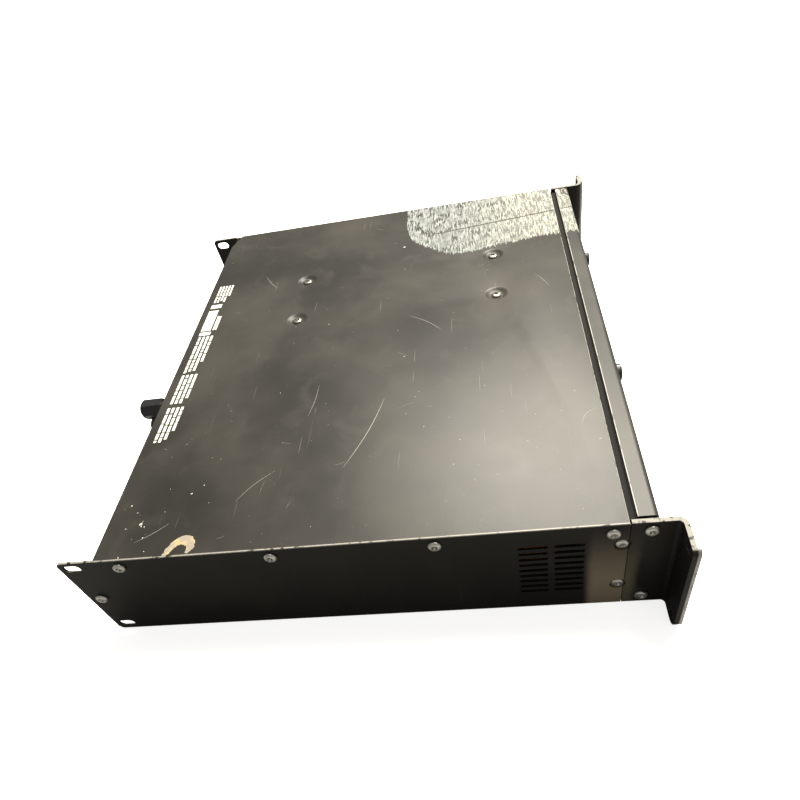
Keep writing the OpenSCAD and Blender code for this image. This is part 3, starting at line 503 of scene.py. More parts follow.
def circuit_board():
    """Green lacquered board with copper tracks under the lacquer."""
    r = Recipe("circuit_board", (0.02, 0.10, 0.04), 0.35, specular=0.5)
    x, y = r.axis("X"), r.axis("Y")
    tracks = r.either(
        r.step(r.math("SINE", r.math("MULTIPLY", x, 900.0)), 0.55, 0.75),
        r.step(r.math("SINE", r.math("MULTIPLY", y, 700.0)), 0.80, 0.92),
    )
    tracks = r.both(tracks, r.step(r.noise(55, 1.0), 0.46, 0.50))
    r.colour(r.blend(tracks, (0.015, 0.075, 0.030), (0.045, 0.17, 0.06)))
    r.roughness(r.level(r.noise(120, 2.0), 0.28, 0.45))
    r.relief(tracks, 0.05 * MM, 0.6)
    return r.material


def winding_wrap():
    """Amber tape wound round the ring of the transformer, each turn lapping the last."""
    low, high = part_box("toroidal_transformer")
    middle = (low + high) / 2
    r = Recipe("winding_wrap", (0.55, 0.22, 0.05), 0.35, specular=0.5)
    angle = r.math(
        "ARCTAN2", r.math("SUBTRACT", r.axis("Y"), middle.y), r.math("SUBTRACT", r.axis("X"), middle.x)
    )
    laps = r.math("FRACT", r.math("MULTIPLY", angle, 56 / FULL_TURN))
    tone = r.noise(25, 2.0)
    r.colour(r.blend(r.math("MULTIPLY", r.step(laps, 0.1, 1.0), 0.6), (0.58, 0.24, 0.06), (0.30, 0.10, 0.02)))
    r.roughness(r.level(tone, 0.28, 0.46))
    r.relief(laps, 0.3 * MM, 0.7)
    return r.material


def extruded_aluminium(name="extruded_aluminium"):
    """Aluminium with extrusion lines along its length."""
    return metal(name, (0.60, 0.61, 0.62), 0.38, brush=(900, 20, 900), grime=0.25)


# ---- Mesh helpers ----


def piece(bm, name, material, body="case", replaced=(), smooth=30):
    """Turns a bmesh into a piece at the origin that rides on a body of the frame."""
    mesh = bpy.data.meshes.new(name)
    for face in bm.faces:
        face.smooth = True
    bm.to_mesh(mesh)
    bm.free()
    mesh.set_sharp_from_angle(angle=math.radians(smooth))
    mesh.materials.append(material)
    made = bpy.data.objects.new(name, mesh)
    bpy.context.scene.collection.objects.link(made)
    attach(made, body)
    if replaced:
        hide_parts(*replaced)
    if not mesh.polygons:
        raise RuntimeError(f"{name} came out empty")
    return made


def paint_nodes(material, *names):
    """Gives packed parts their material."""
    for name in names:
        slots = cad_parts[name].data.materials
        slots.clear()
        slots.append(material)


def solids(node):
    """Lowest and highest corner of each separate solid in a packed part."""
    bm = bmesh.new()
    bm.from_mesh(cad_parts[node].data)
    bmesh.ops.remove_doubles(bm, verts=bm.verts[:], dist=1e-6)
    left = set(bm.verts)
    boxes = []
    while left:
        reached = [left.pop()]
        found = list(reached)
        while reached:
            for edge in reached.pop().link_edges:
                for vert in edge.verts:
                    if vert in left:
                        left.remove(vert)
                        reached.append(vert)
                        found.append(vert)
        boxes.append((
            Vector(min(v.co[i] for v in found) for i in range(3)),
            Vector(max(v.co[i] for v in found) for i in range(3)),
        ))
    bm.free()
    return sorted(boxes, key=lambda pair: tuple(round(c, 4) for c in pair[0]))


def slab(bm, low, high, round_by=0.0):
    """Adds a box between two corners, with rounded edges if asked."""
    low, high = Vector(low), Vector(high)
    size = high - low
    place = Matrix.Translation((low + high) / 2) @ Matrix.Diagonal((*size, 1))
    made = bmesh.ops.create_cube(bm, size=1, matrix=place)["verts"]
    if round_by:
        edges = list({e for v in made for e in v.link_edges})
        bmesh.ops.bevel(
            bm, geom=edges, offset=round_by, segments=2, profile=0.5, affect="EDGES", material=-1
        )
    return made


def lathe(outline, steps=40):
    """A closed turned shape about Z from an outline of (radius, height) that starts and ends on the axis."""
    bm = bmesh.new()
    verts = [bm.verts.new((radius, 0, height)) for radius, height in outline]
    edges = [bm.edges.new(pair) for pair in zip(verts, verts[1:])]
    bmesh.ops.spin(
        bm, geom=verts + edges, cent=(0, 0, 0), axis=UP, angle=FULL_TURN, steps=steps, use_merge=True
    )
    bmesh.ops.remove_doubles(bm, verts=bm.verts[:], dist=1e-7)
    bmesh.ops.recalc_face_normals(bm, faces=bm.faces[:])
    return bm


def as_mesh(bm):
    """Keeps a bmesh as a mesh that can be placed many times."""
    mesh = bpy.data.meshes.new("template")
    bm.to_mesh(mesh)
    bm.free()
    return mesh


def cut(bm, cutter):
    """Takes the cutter out of a shape and returns the rest as a mesh."""
    shape = bpy.data.objects.new("shape", as_mesh(bm))
    tool = bpy.data.objects.new("tool", as_mesh(cutter))
    for made in (shape, tool):
        bpy.context.scene.collection.objects.link(made)
    modifier = shape.modifiers.new("cut", "BOOLEAN")
    modifier.object = tool
    modifier.operation = "DIFFERENCE"
    modifier.solver = "EXACT"
    modifier.use_self = True
    bpy.context.view_layer.update()
    rest = bpy.data.meshes.new_from_object(shape.evaluated_get(bpy.context.evaluated_depsgraph_get()))
    for made in (shape, tool):
        bpy.data.objects.remove(made)
    return rest


def place_copy(bm, mesh, matrix):
    """Adds a copy of a mesh at a place."""
    start = len(bm.verts)
    bm.from_mesh(mesh)
    bm.verts.ensure_lookup_table()
    bmesh.ops.transform(bm, matrix=matrix, verts=bm.verts[start:])


def turned_to(direction, spin=0.0):
    """The turn that brings Z to a direction, after a spin about Z."""
    return direction.to_track_quat("Z", "Y").to_matrix().to_4x4() @ Matrix.Rotation(spin, 4, "Z")


# ---- Pieces ----


def screw_mesh(sizes, radius, height, length):
    """One pan-head screw with a cross recess, its seat at z = 0 and its head upwards."""
    rise = 0.42
    arc_steps = 6
    head = [(radius * 0.97, 0), (radius, 0.08 * height), (radius, rise * height)]
    for step in range(1, arc_steps):
        turn = step / arc_steps * math.pi / 2
        head.append((radius * math.cos(turn) ** 0.55, height * (rise + (1 - rise) * math.sin(turn))))
    outline = [(0, -length), (sizes.shank_r * 0.8, -length), (sizes.shank_r, -length * 0.9),
               (sizes.shank_r, 0), *head, (0, height)]
    cutter = bmesh.new()
    reach = sizes.cross_share * radius
    for wing in (0, math.pi / 2):
        made = slab(cutter, (-reach, -sizes.cross_w / 2, -0.25 * height),
                    (reach, sizes.cross_w / 2, 2 * height))
        for vert in made:
            if vert.co.z < 0:
                vert.co.x *= 0.45
                vert.co.y *= 0.75
        bmesh.ops.rotate(cutter, cent=(0, 0, 0), matrix=Matrix.Rotation(wing, 3, "Z"), verts=made)
    cone = sizes.cone_share * radius
    bmesh.ops.create_cone(
        cutter, cap_ends=True, segments=20, radius1=0.35 * cone, radius2=cone * 1.5, depth=1.6 * height,
        matrix=Matrix.Translation((0, 0, 0.75 * height)))
    return cut(lathe(outline), cutter)


def screw_set(name, node, material, sizes, direction_of, rng):
    """Detailed screws in the places of a packed part's plain ones."""
    bm = bmesh.new()
    for low, high in solids(node):
        out = direction_of(low, high)
        axis = max(range(3), key=lambda i: abs(out[i]))
        across = (axis + 1) % 3
        radius = (high[across] - low[across]) / 2
        height = 0.55 * radius
        tip = (low if out[axis] < 0 else high)[axis]
        seat = (low + high) / 2
        seat[axis] = tip - out[axis] * height
        length = high[axis] - low[axis] - height
        mesh = screw_mesh(sizes, radius, height, length)
        place_copy(bm, mesh, Matrix.Translation(seat) @ turned_to(out, rng.uniform(0, math.pi)))
        bpy.data.meshes.remove(mesh)
    return piece(bm, name, material, replaced=(node,), smooth=38)


def pressed_dimple(bm, ring, centre, sizes):
    """Draws a round hole's edge down into a pressed dimple with a hole in its floor."""
    steps = 10
    radius = sizes.dimple_r
    depth = 0.0
    rings = []
    for step in range(1, steps + 1):
        share = step / steps
        rings.append((sizes.dimple_r + (sizes.floor_r - sizes.dimple_r) * share,
                      sizes.dimple_depth * (0.5 - 0.5 * math.cos(math.pi * share))))
    rings += [(sizes.hole_r * 1.6, sizes.dimple_depth), (sizes.hole_r, sizes.dimple_depth)]
    for new_radius, new_depth in rings:
        made = bmesh.ops.extrude_edge_only(bm, edges=ring)["geom"]
        verts = [g for g in made if isinstance(g, bmesh.types.BMVert)]
        ring = [g for g in made if isinstance(g, bmesh.types.BMEdge)
                and g.verts[0] in verts and g.verts[1] in verts]
        scale = new_radius / radius
        bmesh.ops.scale(
            bm, vec=(scale, scale, 1), space=Matrix.Translation(-centre), verts=verts)
        bmesh.ops.translate(bm, vec=(0, 0, depth - new_depth), verts=verts)
        radius, depth = new_radius, new_depth


def cover_skin(sizes, material):
    """The folded cover: one sheet with pressed dimples, a soft edge and its side flanges."""
    bm = bmesh.new()
    outline = [
        (COVER_LOW.x, COVER_LOW.y), (COVER_HIGH.x, COVER_LOW.y),
        (COVER_HIGH.x, COVER_HIGH.y - sizes.corner_y), (COVER_HIGH.x - sizes.corner_x, COVER_HIGH.y),
        (COVER_LOW.x, COVER_HIGH.y),
    ]
    corners = [bm.verts.new((x, y, COVER_TOP)) for x, y in outline]
    for first, second in zip(corners, corners[1:] + corners[:1]):
        bm.edges.new((first, second))
    rings = []
    for low, high in solids("dimple_screws"):
        centre = Vector(((low.x + high.x) / 2, (low.y + high.y) / 2, COVER_TOP))
        made = bmesh.ops.create_circle(
            bm, cap_ends=False, segments=56, radius=sizes.dimple_r, matrix=Matrix.Translation(centre))
        rings.append((centre, list({e for v in made["verts"] for e in v.link_edges})))
    bmesh.ops.triangle_fill(bm, use_beauty=True, use_dissolve=False, edges=bm.edges[:])
    for centre, ring in rings:
        pressed_dimple(bm, ring, centre, sizes)
    bmesh.ops.recalc_face_normals(bm, faces=bm.faces[:])
    if max(bm.faces, key=lambda f: f.calc_area()).normal.z < 0:
        bmesh.ops.reverse_faces(bm, faces=bm.faces[:])
    bmesh.ops.solidify(bm, geom=bm.faces[:], thickness=sizes.sheet)
    bm.edges.ensure_lookup_table()
    rim = [e for e in bm.edges
           if len(e.link_faces) == 2 and e.calc_face_angle() > math.radians(60)
           and min(v.co.z for v in e.verts) > COVER_TOP - 0.01 * MM
           and max(abs(v.co.x) for v in e.verts) > 0.12]
    bmesh.ops.bevel(
        bm, geom=rim, offset=sizes.edge_round, segments=3, profile=0.5, affect="EDGES", material=-1)
    flange_inset = 1.8 * MM
    end_gap = 4 * MM
    for side in (-1, 1):
        outer = side * (COVER_HIGH.x - flange_inset)
        inner = outer - side * sizes.sheet
        slab(bm, (min(outer, inner), COVER_LOW.y + end_gap, COVER_LOW.z),
             (max(outer, inner), COVER_HIGH.y - end_gap, COVER_TOP - sizes.sheet), 0.2 * MM)
    return piece(bm, "cover_skin", material, replaced=("top_cover",), smooth=40)


# The printed bars on the cover: each block's two ends along the width and its number of lines.
LEGEND_REAR = 169 * MM
LEGEND_FRONT = 153 * MM
LEGEND_BLOCKS = [(85, 114, 5), (-23, 29, 4), (-63, -26, 4), (-108, -68, 4)]
LEGEND_PANEL = (38, 71)
LEGEND_TABS = [(75, 81), (31, 36)]


def legend_print(material, rng):
    """Unlettered bars in the place of the cover's printed notes, as thin ink."""
    bm = bmesh.new()
    bottom, top = COVER_TOP - 0.02 * MM, COVER_TOP + 0.03 * MM
    for start, end, lines in LEGEND_BLOCKS:
        pitch = (LEGEND_REAR - LEGEND_FRONT) / lines
        for line in range(lines):
            y = LEGEND_FRONT + (line + 0.5) * pitch
            stop = (start if line else start + rng.uniform(4, 14)) * MM
            x = end * MM
            while x > stop + 2 * MM:
                word = min(rng.uniform(3.5, 12) * MM, x - stop)
                slab(bm, (x - word, y - 0.30 * pitch, bottom), (x, y + 0.30 * pitch, top))
                x -= word + rng.uniform(0.7, 1.5) * MM
    low_x, high_x = (edge * MM for edge in LEGEND_PANEL)
    split = LEGEND_FRONT + 5.4 * MM
    slab(bm, (low_x, split + 0.8 * MM, bottom), (high_x, LEGEND_REAR, top))
    for line in range(2):
        y = LEGEND_FRONT + (0.4 + 2.4 * line) * MM
        slab(bm, (low_x, y, bottom), (high_x - rng.uniform(2, 14) * MM, y + 1.6 * MM, top))
    for start, end in LEGEND_TABS:
        slab(bm, (start * MM, LEGEND_REAR - 11 * MM, bottom), (end * MM, LEGEND_REAR, top))
    return piece(bm, "legend_print", material)


def scratch_strip(bm, start, end, bow, width):
    """One tapered scratch along a bowed line on the cover."""
    made = bmesh.ops.create_grid(bm, x_segments=14, y_segments=1, size=0.5)["verts"]
    start, end = Vector(start), Vector(end)
    along = end - start
    across = Vector((-along.y, along.x)).normalized()
    for vert in made:
        share, side = vert.co.x + 0.5, vert.co.y * 2
        taper = math.sin(math.pi * min(0.97, max(0.03, share))) ** 0.6
        point = start + along * share + across * (bow * math.sin(math.pi * share) + side * width * taper / 2)
        vert.co = (point.x, point.y, COVER_TOP + 0.015 * MM)
    return made


# Long scratches on the cover: both ends, the bow of the line and its width, in millimetres.
LONG_SCRATCHES = [
    ((-84.5, -15), (-153, 10), 2.5, 0.55), ((-133, -154), (-118, -166), 3.0, 0.35),
    ((-60, 40), (-96, 44), 1.2, 0.3), ((20, -30), (-6, -58), 2.0, 0.3),
    ((-150, 60), (-176, 84), -2.0, 0.3), ((-190, 128), (-205, 150), 1.0, 0.35),
    ((120, 120), (96, 104), -1.0, 0.3), ((60, -140), (38, -150), 1.0, 0.25),
]


def scratch_marks(material, rng):
    """The long scratches and a scatter of short ones over the cover."""
    bm = bmesh.new()
    for start, end, bow, width in LONG_SCRATCHES:
        scratch_strip(bm, [c * MM for c in start], [c * MM for c in end], bow * MM, width * MM)
    for _ in range(14):
        x, y = rng.uniform(-212, 205), rng.uniform(-150, 165)
        turn, length = rng.gauss(0.4, 0.7), rng.uniform(3, 14)
        end = (x + length * math.cos(turn), y + length * math.sin(turn))
        scratch_strip(bm, (x * MM, y * MM), [c * MM for c in end], rng.uniform(-1, 1) * MM,
                      rng.uniform(0.08, 0.16) * MM)
    bmesh.ops.recalc_face_normals(bm, faces=bm.faces[:])
    bmesh.ops.solidify(bm, geom=bm.faces[:], thickness=0.02 * MM)
    bmesh.ops.recalc_face_normals(bm, faces=bm.faces[:])
    return piece(bm, "scratch_marks", material)


# The torn paper's arch: along it, the middle's place and the half width, in millimetres.
FLAKE_SPINE = [
    (-217.5, 124.5, 1.2), (-215.0, 122.8, 2.0), (-211.5, 121.2, 2.4), (-207.8, 118.6, 2.9),
    (-205.4, 114.6, 3.4), (-205.6, 110.6, 3.9), (-208.2, 107.6, 3.6), (-211.6, 106.6, 2.5),
    (-214.2, 107.6, 2.0), (-216.4, 108.6, 0.9),
]


def torn_flake(material, rng):
    """A torn arch of paper stuck near the side edge, its two legs towards the edge."""
    bm = bmesh.new()
    across_steps = 4
    fine = []
    for first, second in zip(FLAKE_SPINE, FLAKE_SPINE[1:]):
        fine += [Vector(first).lerp(Vector(second), share / 3) for share in range(3)]
    fine.append(Vector(FLAKE_SPINE[-1]))
    rows = []
    for before, here, after in zip([fine[0], *fine], fine, [*fine[1:], fine[-1]]):
        along = Vector((after.x - before.x, after.y - before.y)).normalized()
        across = Vector((-along.y, along.x))
        edges = (-here.z + rng.uniform(-0.5, 0.4), here.z + rng.uniform(-0.5, 0.4))
        row = []
        for step in range(across_steps + 1):
            side = edges[0] + (edges[1] - edges[0]) * step / across_steps
            row.append(bm.verts.new((
                (here.x + across.x * side) * MM, (here.y + across.y * side) * MM,
                COVER_TOP + rng.uniform(0.06, 0.18) * MM)))
        rows.append(row)
    for row, beyond in zip(rows, rows[1:]):
        for step in range(across_steps):
            bm.faces.new((row[step], row[step + 1], beyond[step + 1], beyond[step]))
    bmesh.ops.recalc_face_normals(bm, faces=bm.faces[:])
    bmesh.ops.solidify(bm, geom=bm.faces[:], thickness=0.15 * MM)
    bmesh.ops.recalc_face_normals(bm, faces=bm.faces[:])
    return piece(bm, "torn_flake", material, smooth=60)


def crumbs(material, rng):
    """Specks of glue and paint on the cover, thick at the torn front corner."""
    bm = bmesh.new()
    spots = [(rng.uniform(186, 212), rng.uniform(-186, -180), rng.uniform(0.2, 0.5)) for _ in range(34)]
    spots += [(rng.uniform(-214, 210), rng.uniform(-165, 170), rng.uniform(0.16, 0.34)) for _ in range(34)]
    spots += [(rng.gauss(-185, 16), rng.gauss(135, 18), rng.uniform(0.2, 0.6)) for _ in range(14)]
    spots += [(-189, 150, 1.1), (-191, 149, 0.7), (-120, -46, 0.5), (140, -20, 0.9)]
    limit = COVER_HIGH.x - 2 * MM
    for x, y, radius in spots:
        x, y = max(-limit, x * MM), min(COVER_HIGH.y - 2 * MM, y * MM)
        bmesh.ops.create_icosphere(
            bm, subdivisions=1, radius=radius * MM,
            matrix=Matrix.Translation((x, y, COVER_TOP)) @ Matrix.Rotation(rng.uniform(0, 3), 4, "Z")
            @ Matrix.Diagonal((1, rng.uniform(0.5, 1.6), 0.22, 1)))
    return piece(bm, "paint_crumbs", material, smooth=60)


def lens_domes(material):
    """The indicator lenses, each a rod with a rounded tip."""
    bm = bmesh.new()
    for low, high in solids("indicator_lenses"):
        radius = (high.x - low.x) / 2
        length = high.y - low.y
        tip_steps = 6
        outline = [(0, 0), (radius, 0), (radius, length - radius)]
        for step in range(1, tip_steps):
            turn = step / tip_steps * math.pi / 2
            outline.append((radius * math.cos(turn), length - radius * (1 - math.sin(turn))))
        mesh = as_mesh(lathe(outline + [(0, length)], 24))
        seat = Vector(((low.x + high.x) / 2, high.y, (low.z + high.z) / 2))
        place_copy(bm, mesh, Matrix.Translation(seat) @ turned_to(Vector((0, -1, 0))))
        bpy.data.meshes.remove(mesh)
    return piece(bm, "lens_domes", material, replaced=("indicator_lenses",))


def tick(bm, centre, turn, inner, outer, width, face, out):
    """One printed tick on a face across Y, pointing away from a centre."""
    made = slab(bm, (-width / 2, -0.03 * MM, inner), (width / 2, 0.03 * MM, outer))
    place = Matrix.Translation((centre[0], face, centre[1])) @ Matrix.Rotation(turn * out, 4, "Y")
    bmesh.ops.transform(bm, matrix=place, verts=made)


def front_prints(material):
    """Scale ticks round the gain knobs and a short bar beside each indicator."""
    bm = bmesh.new()
    divisions = 10
    for knob in ("gain_knob_1", "gain_knob_2"):
        low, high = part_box(knob)
        centre = ((low.x + high.x) / 2, (low.z + high.z) / 2)
        radius = (high.x - low.x) / 2
        for mark in range(divisions + 1):
            turn = math.radians(-150 + 300 * mark / divisions)
            longer = 1.6 * MM if mark % 5 == 0 else 0.0
            tick(bm, centre, turn, radius + 1.6 * MM, radius + 3.4 * MM + longer, 0.5 * MM, PANEL_FACE, 1)
    for low, high in solids("indicator_lenses"):
        z = (low.z + high.z) / 2
        slab(bm, (high.x + 2.4 * MM, PANEL_FACE - 0.03 * MM, z - 0.35 * MM),
             (high.x + 6.4 * MM, PANEL_FACE + 0.03 * MM, z + 0.35 * MM))
    switch_low, switch_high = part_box("power_switch_body")
    middle = (switch_low.x + switch_high.x) / 2
    slab(bm, (middle - 5 * MM, PANEL_FACE - 0.03 * MM, switch_high.z + 4 * MM),
         (middle + 5 * MM, PANEL_FACE + 0.03 * MM, switch_high.z + 5 * MM))
    return piece(bm, "front_prints", material)


def rear_prints(material):
    """Unlettered bars and outlines beside the sockets on the rear panel."""
    bm = bmesh.new()
    low_y, high_y = REAR_FACE - 0.03 * MM, REAR_FACE + 0.03 * MM
    for node in ("xlr_input_1", "xlr_input_2", "post_base", "power_inlet"):
        low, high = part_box(node)
        middle = (low.x + high.x) / 2
        half = 0.32 * (high.x - low.x)
        if high.z + 4 * MM < REAR_HIGH.z:
            slab(bm, (middle - half, low_y, high.z + 1.6 * MM), (middle + half, high_y, high.z + 2.9 * MM))
        if low.z - 5 * MM > REAR_LOW.z:
            slab(bm, (middle - half, low_y, low.z - 3.2 * MM), (middle + half, high_y, low.z - 1.9 * MM))
    low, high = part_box("post_base")
    for post in range(1, 5):
        cap_low, cap_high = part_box(f"post_cap_{post}")
        z = (cap_low.z + cap_high.z) / 2
        slab(bm, (high.x + 2 * MM, low_y, z - 0.6 * MM), (high.x + 6 * MM, high_y, z + 0.6 * MM))
        if post % 2:
            slab(bm, (high.x + 3.4 * MM, low_y, z - 2 * MM), (high.x + 4.6 * MM, high_y, z + 2 * MM))
    return piece(bm, "rear_prints", material)


def post_band(post, material):
    """A thin coloured ring let into the end of a speaker post's cap."""
    low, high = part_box(f"post_cap_{post}")
    middle = Vector(((low.x + high.x) / 2, high.y - 0.35 * MM, (low.z + high.z) / 2))
    outline = [(3.4, 0.0), (5.2, 0.0), (5.2, 0.5), (5.0, 0.65), (3.6, 0.65), (3.4, 0.5), (3.4, 0.0)]
    bm = bmesh.new()
    verts = [bm.verts.new((radius * MM, 0, height * MM)) for radius, height in outline[:-1]]
    edges = [bm.edges.new(pair) for pair in zip(verts, verts[1:] + verts[:1])]
    bmesh.ops.spin(bm, geom=verts + edges, cent=(0, 0, 0), axis=UP, angle=FULL_TURN, steps=40, use_merge=True)
    bmesh.ops.remove_doubles(bm, verts=bm.verts[:], dist=1e-7)
    bmesh.ops.recalc_face_normals(bm, faces=bm.faces[:])
    place = Matrix.Translation(middle) @ turned_to(Vector((0, 1, 0)))
    bmesh.ops.transform(bm, matrix=place, verts=bm.verts[:])
    return piece(bm, f"post_band_{post}", material, body=f"post_cap_{post}")


# ---- Operators ----


class AMP_OT_case(bpy.types.Operator):
    """Paints the tray, the rear panel and the rack ears"""

    bl_idname = "rack_amp.case"
    bl_label = "Case sheets"

    def execute(self, context):
        look = context.scene.amp_finish
        paint_nodes(black_sheet(look), "chassis_tray")
        # The last number sets the painted reflection at the front end of the sides: none on the rear panel,
        # half on the ears.
        paint_nodes(black_sheet(look, "black_rear_paint", 0.0), "rear_panel")
        paint_nodes(black_sheet(look, "black_ear_paint", 0.5), "left_ear_bracket", "right_ear_bracket")
        facing = metal("ear_facing_plate", look.facing, 0.42, brush=(900, 900, 40), grime=0.3)
        paint_nodes(facing, "left_ear_facing", "right_ear_facing")
        return {"FINISHED"}


class AMP_OT_cover(bpy.types.Operator):
    """Builds the pressed cover sheet and paints it with the front panel"""

    bl_idname = "rack_amp.cover"
    bl_label = "Cover and front"

    def execute(self, context):
        paint = cover_paint(context.scene.amp_finish)
        paint_nodes(paint, "front_panel")
        cover_skin(context.scene.amp_cover, paint)
        return {"FINISHED"}


class AMP_OT_prints(bpy.types.Operator):
    """Adds the printed bars and ticks, all without letters"""

    bl_idname = "rack_amp.prints"
    bl_label = "Prints"

    def execute(self, context):
        ink = printed_ink(context.scene.amp_finish)
        legend_print(ink, random.Random(5))
        front_prints(ink)
        rear_prints(ink)
        return {"FINISHED"}


class AMP_OT_wear(bpy.types.Operator):
    """Adds the torn paper, the crumbs and the scratches of use"""

    bl_idname = "rack_amp.wear"
    bl_label = "Wear"

    def execute(self, context):
        look = context.scene.amp_finish
        torn_flake(torn_paper(), random.Random(11))
        crumbs(moulded("glue_crumbs", (0.62, 0.60, 0.54), 0.8, 0.2), random.Random(3))
        scratch_marks(moulded("scratch_grey", (0.30, 0.28, 0.24), 0.6, 0.3), random.Random(8))
        return {"FINISHED"}


class AMP_OT_screws(bpy.types.Operator):
    """Replaces the plain screws by pan heads with a cross recess"""

    bl_idname = "rack_amp.screws"
    bl_label = "Screws"

    def execute(self, context):
        look = context.scene.amp_finish
        sizes = context.scene.amp_screw
        rng = random.Random(21)
        zinc = metal("zinc_plating", look.zinc, 0.32, grime=0.6)
        dark = metal("dark_plating", look.dark_plate, 0.36, grime=0.7)

        def sideways(low, high):
            return Vector((1 if low.x > 0 else -1, 0, 0))

        def upwards(low, high):
            return UP.copy()

        def rearwards(low, high):
            return Vector((0, 1, 0))

        screw_set("cover_screw_set", "cover_screws", zinc, sizes, sideways, rng)
        screw_set("ear_screw_set", "ear_screws", zinc, sizes, sideways, rng)
        screw_set("dimple_screw_set", "dimple_screws", dark, sizes, upwards, rng)
        screw_set("rear_screw_set", "rear_screws", zinc, sizes, rearwards, rng)
        return {"FINISHED"}


class AMP_OT_front_controls(bpy.types.Operator):
    """Finishes the knobs, the power switch and the indicators"""

    bl_idname = "rack_amp.front_controls"
    bl_label = "Front controls"

    def execute(self, context):
        look = context.scene.amp_finish
        for knob in ("gain_knob_1", "gain_knob_2"):
            low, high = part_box(knob)
            paint_nodes(knob_plastic(look, (low.x + high.x) / 2, (low.z + high.z) / 2), knob)
        steel = metal("control_steel", (0.58, 0.58, 0.56), 0.28)
        paint_nodes(steel, "gain_shaft_1", "gain_shaft_2", "gain_nuts")
        paint_nodes(moulded("pot_casing", (0.06, 0.09, 0.13), 0.5), "gain_pot_1", "gain_pot_2")
        paint_nodes(moulded("switch_moulding", look.moulding, 0.5), "power_switch_body")
        paint_nodes(moulded("rocker_red", look.rocker, 0.34), "power_rocker")
        paint_nodes(circuit_board(), "front_boards")
        lens_domes(lens_plastic(look))
        return {"FINISHED"}


class AMP_OT_rear_fittings(bpy.types.Operator):
    """Finishes the inlet, breaker, sockets, posts and the fan"""

    bl_idname = "rack_amp.rear_fittings"
    bl_label = "Rear fittings"

    def execute(self, context):
        look = context.scene.amp_finish
        black = moulded("fitting_moulding", look.moulding, 0.46)
        paint_nodes(black, "power_inlet", "breaker_body", "post_base", "mode_switch", "jack_inputs")
        gloss = moulded("socket_moulding", look.moulding, 0.30, 0.5)
        paint_nodes(gloss, "xlr_input_1", "xlr_input_2", "xlr_inserts")
        caps = moulded("post_cap_black", (0.012, 0.012, 0.012), 0.28, 0.5, grain=0.01)
        paint_nodes(caps, *(f"post_cap_{i}" for i in range(1, 5)))
        brass = metal("contact_brass", look.brass, 0.24)
        paint_nodes(brass, "post_studs", "inlet_pins", *(f"post_washer_{i}" for i in range(1, 5)))
        steel = metal("rear_steel", (0.62, 0.62, 0.60), 0.26)
        paint_nodes(steel, "rear_nuts", "xlr_latch_1", "xlr_latch_2")
        paint_nodes(moulded("breaker_red", look.rocker, 0.38), "breaker_button")
        paint_nodes(moulded("slider_white", (0.66, 0.65, 0.60), 0.45), "mode_slider")
        paint_nodes(moulded("fan_moulding", (0.022, 0.022, 0.022), 0.52), "fan_frame", "fan_rotor")
        paint_nodes(metal("guard_wire", (0.70, 0.70, 0.68), 0.22), "fan_guard")
        bands = [moulded("band_red", (0.45, 0.02, 0.02), 0.35), moulded("band_grey", (0.10, 0.10, 0.10), 0.4)]
        for post in range(1, 5):
            post_band(post, bands[(post - 1) % 2])
        return {"FINISHED"}


class AMP_OT_insides(bpy.types.Operator):
    """Finishes the transformer, heatsinks, boards and capacitors"""

    bl_idname = "rack_amp.insides"
    bl_label = "Insides"

    def execute(self, context):
        paint_nodes(winding_wrap(), "toroidal_transformer")
        paint_nodes(moulded("pad_rubber", (0.02, 0.02, 0.02), 0.8, 0.2), "transformer_pad")
        paint_nodes(metal("clamp_steel", (0.5, 0.51, 0.52), 0.35), "transformer_clamp", "transformer_bolt")
        paint_nodes(extruded_aluminium(), "left_heatsink", "right_heatsink")
        paint_nodes(moulded("transistor_epoxy", (0.02, 0.02, 0.02), 0.55), "output_transistors")
        paint_nodes(circuit_board(), "main_board", "driver_board")
        paint_nodes(moulded("capacitor_sleeve", (0.03, 0.07, 0.16), 0.3), "reservoir_capacitors")
        paint_nodes(metal("standoff_zinc", (0.62, 0.61, 0.58), 0.3), "board_standoffs")
        return {"FINISHED"}


def pale_floor(stage):
    """The floor, which glows a little towards the camera and lights the case only weakly."""
    half_width = 6
    drop = 0.3 * MM
    bm = bmesh.new()
    bmesh.ops.create_grid(bm, x_segments=1, y_segments=1, size=half_width)
    bmesh.ops.translate(bm, vec=(0, 0, CAD_LOW.z - drop), verts=bm.verts[:])
    mesh = as_mesh(bm)
    pale = Recipe("pale_floor", stage.floor, 0.9, specular=0.1)
    seen = pale.node("ShaderNodeLightPath", {})
    light = pale.blend(pale.noise(3, 2.0), stage.floor, tuple(0.985 * c for c in stage.floor))
    pale.colour(pale.blend(seen, (stage.bounce,) * 3, light))
    pale.shader.inputs["Emission Color"].default_value = (1, 1, 1, 1)
    pale.connect(pale.math("MULTIPLY", seen, stage.floor_glow), pale.shader.inputs["Emission Strength"])
    mesh.materials.append(pale.material)
    floor = bpy.data.objects.new("floor", mesh)
    bpy.context.scene.collection.objects.link(floor)


def even_sky(stage):
    """A weak even light from all round that the camera itself sees as white."""
    sky = bpy.data.worlds.new("studio")
    sky.use_nodes = True
    tree = sky.node_tree
    background = tree.nodes["Background"]
    background.inputs["Color"].default_value = (*stage.sky_colour, 1)
    strength = tree.nodes.new("ShaderNodeMapRange")
    strength.inputs["To Min"].default_value = stage.sky
    strength.inputs["To Max"].default_value = 1.0
    path = tree.nodes.new("ShaderNodeLightPath")
    tree.links.new(path.outputs["Is Camera Ray"], strength.inputs["Value"])
    tree.links.new(strength.outputs["Result"], background.inputs["Strength"])
    bpy.context.scene.world = sky


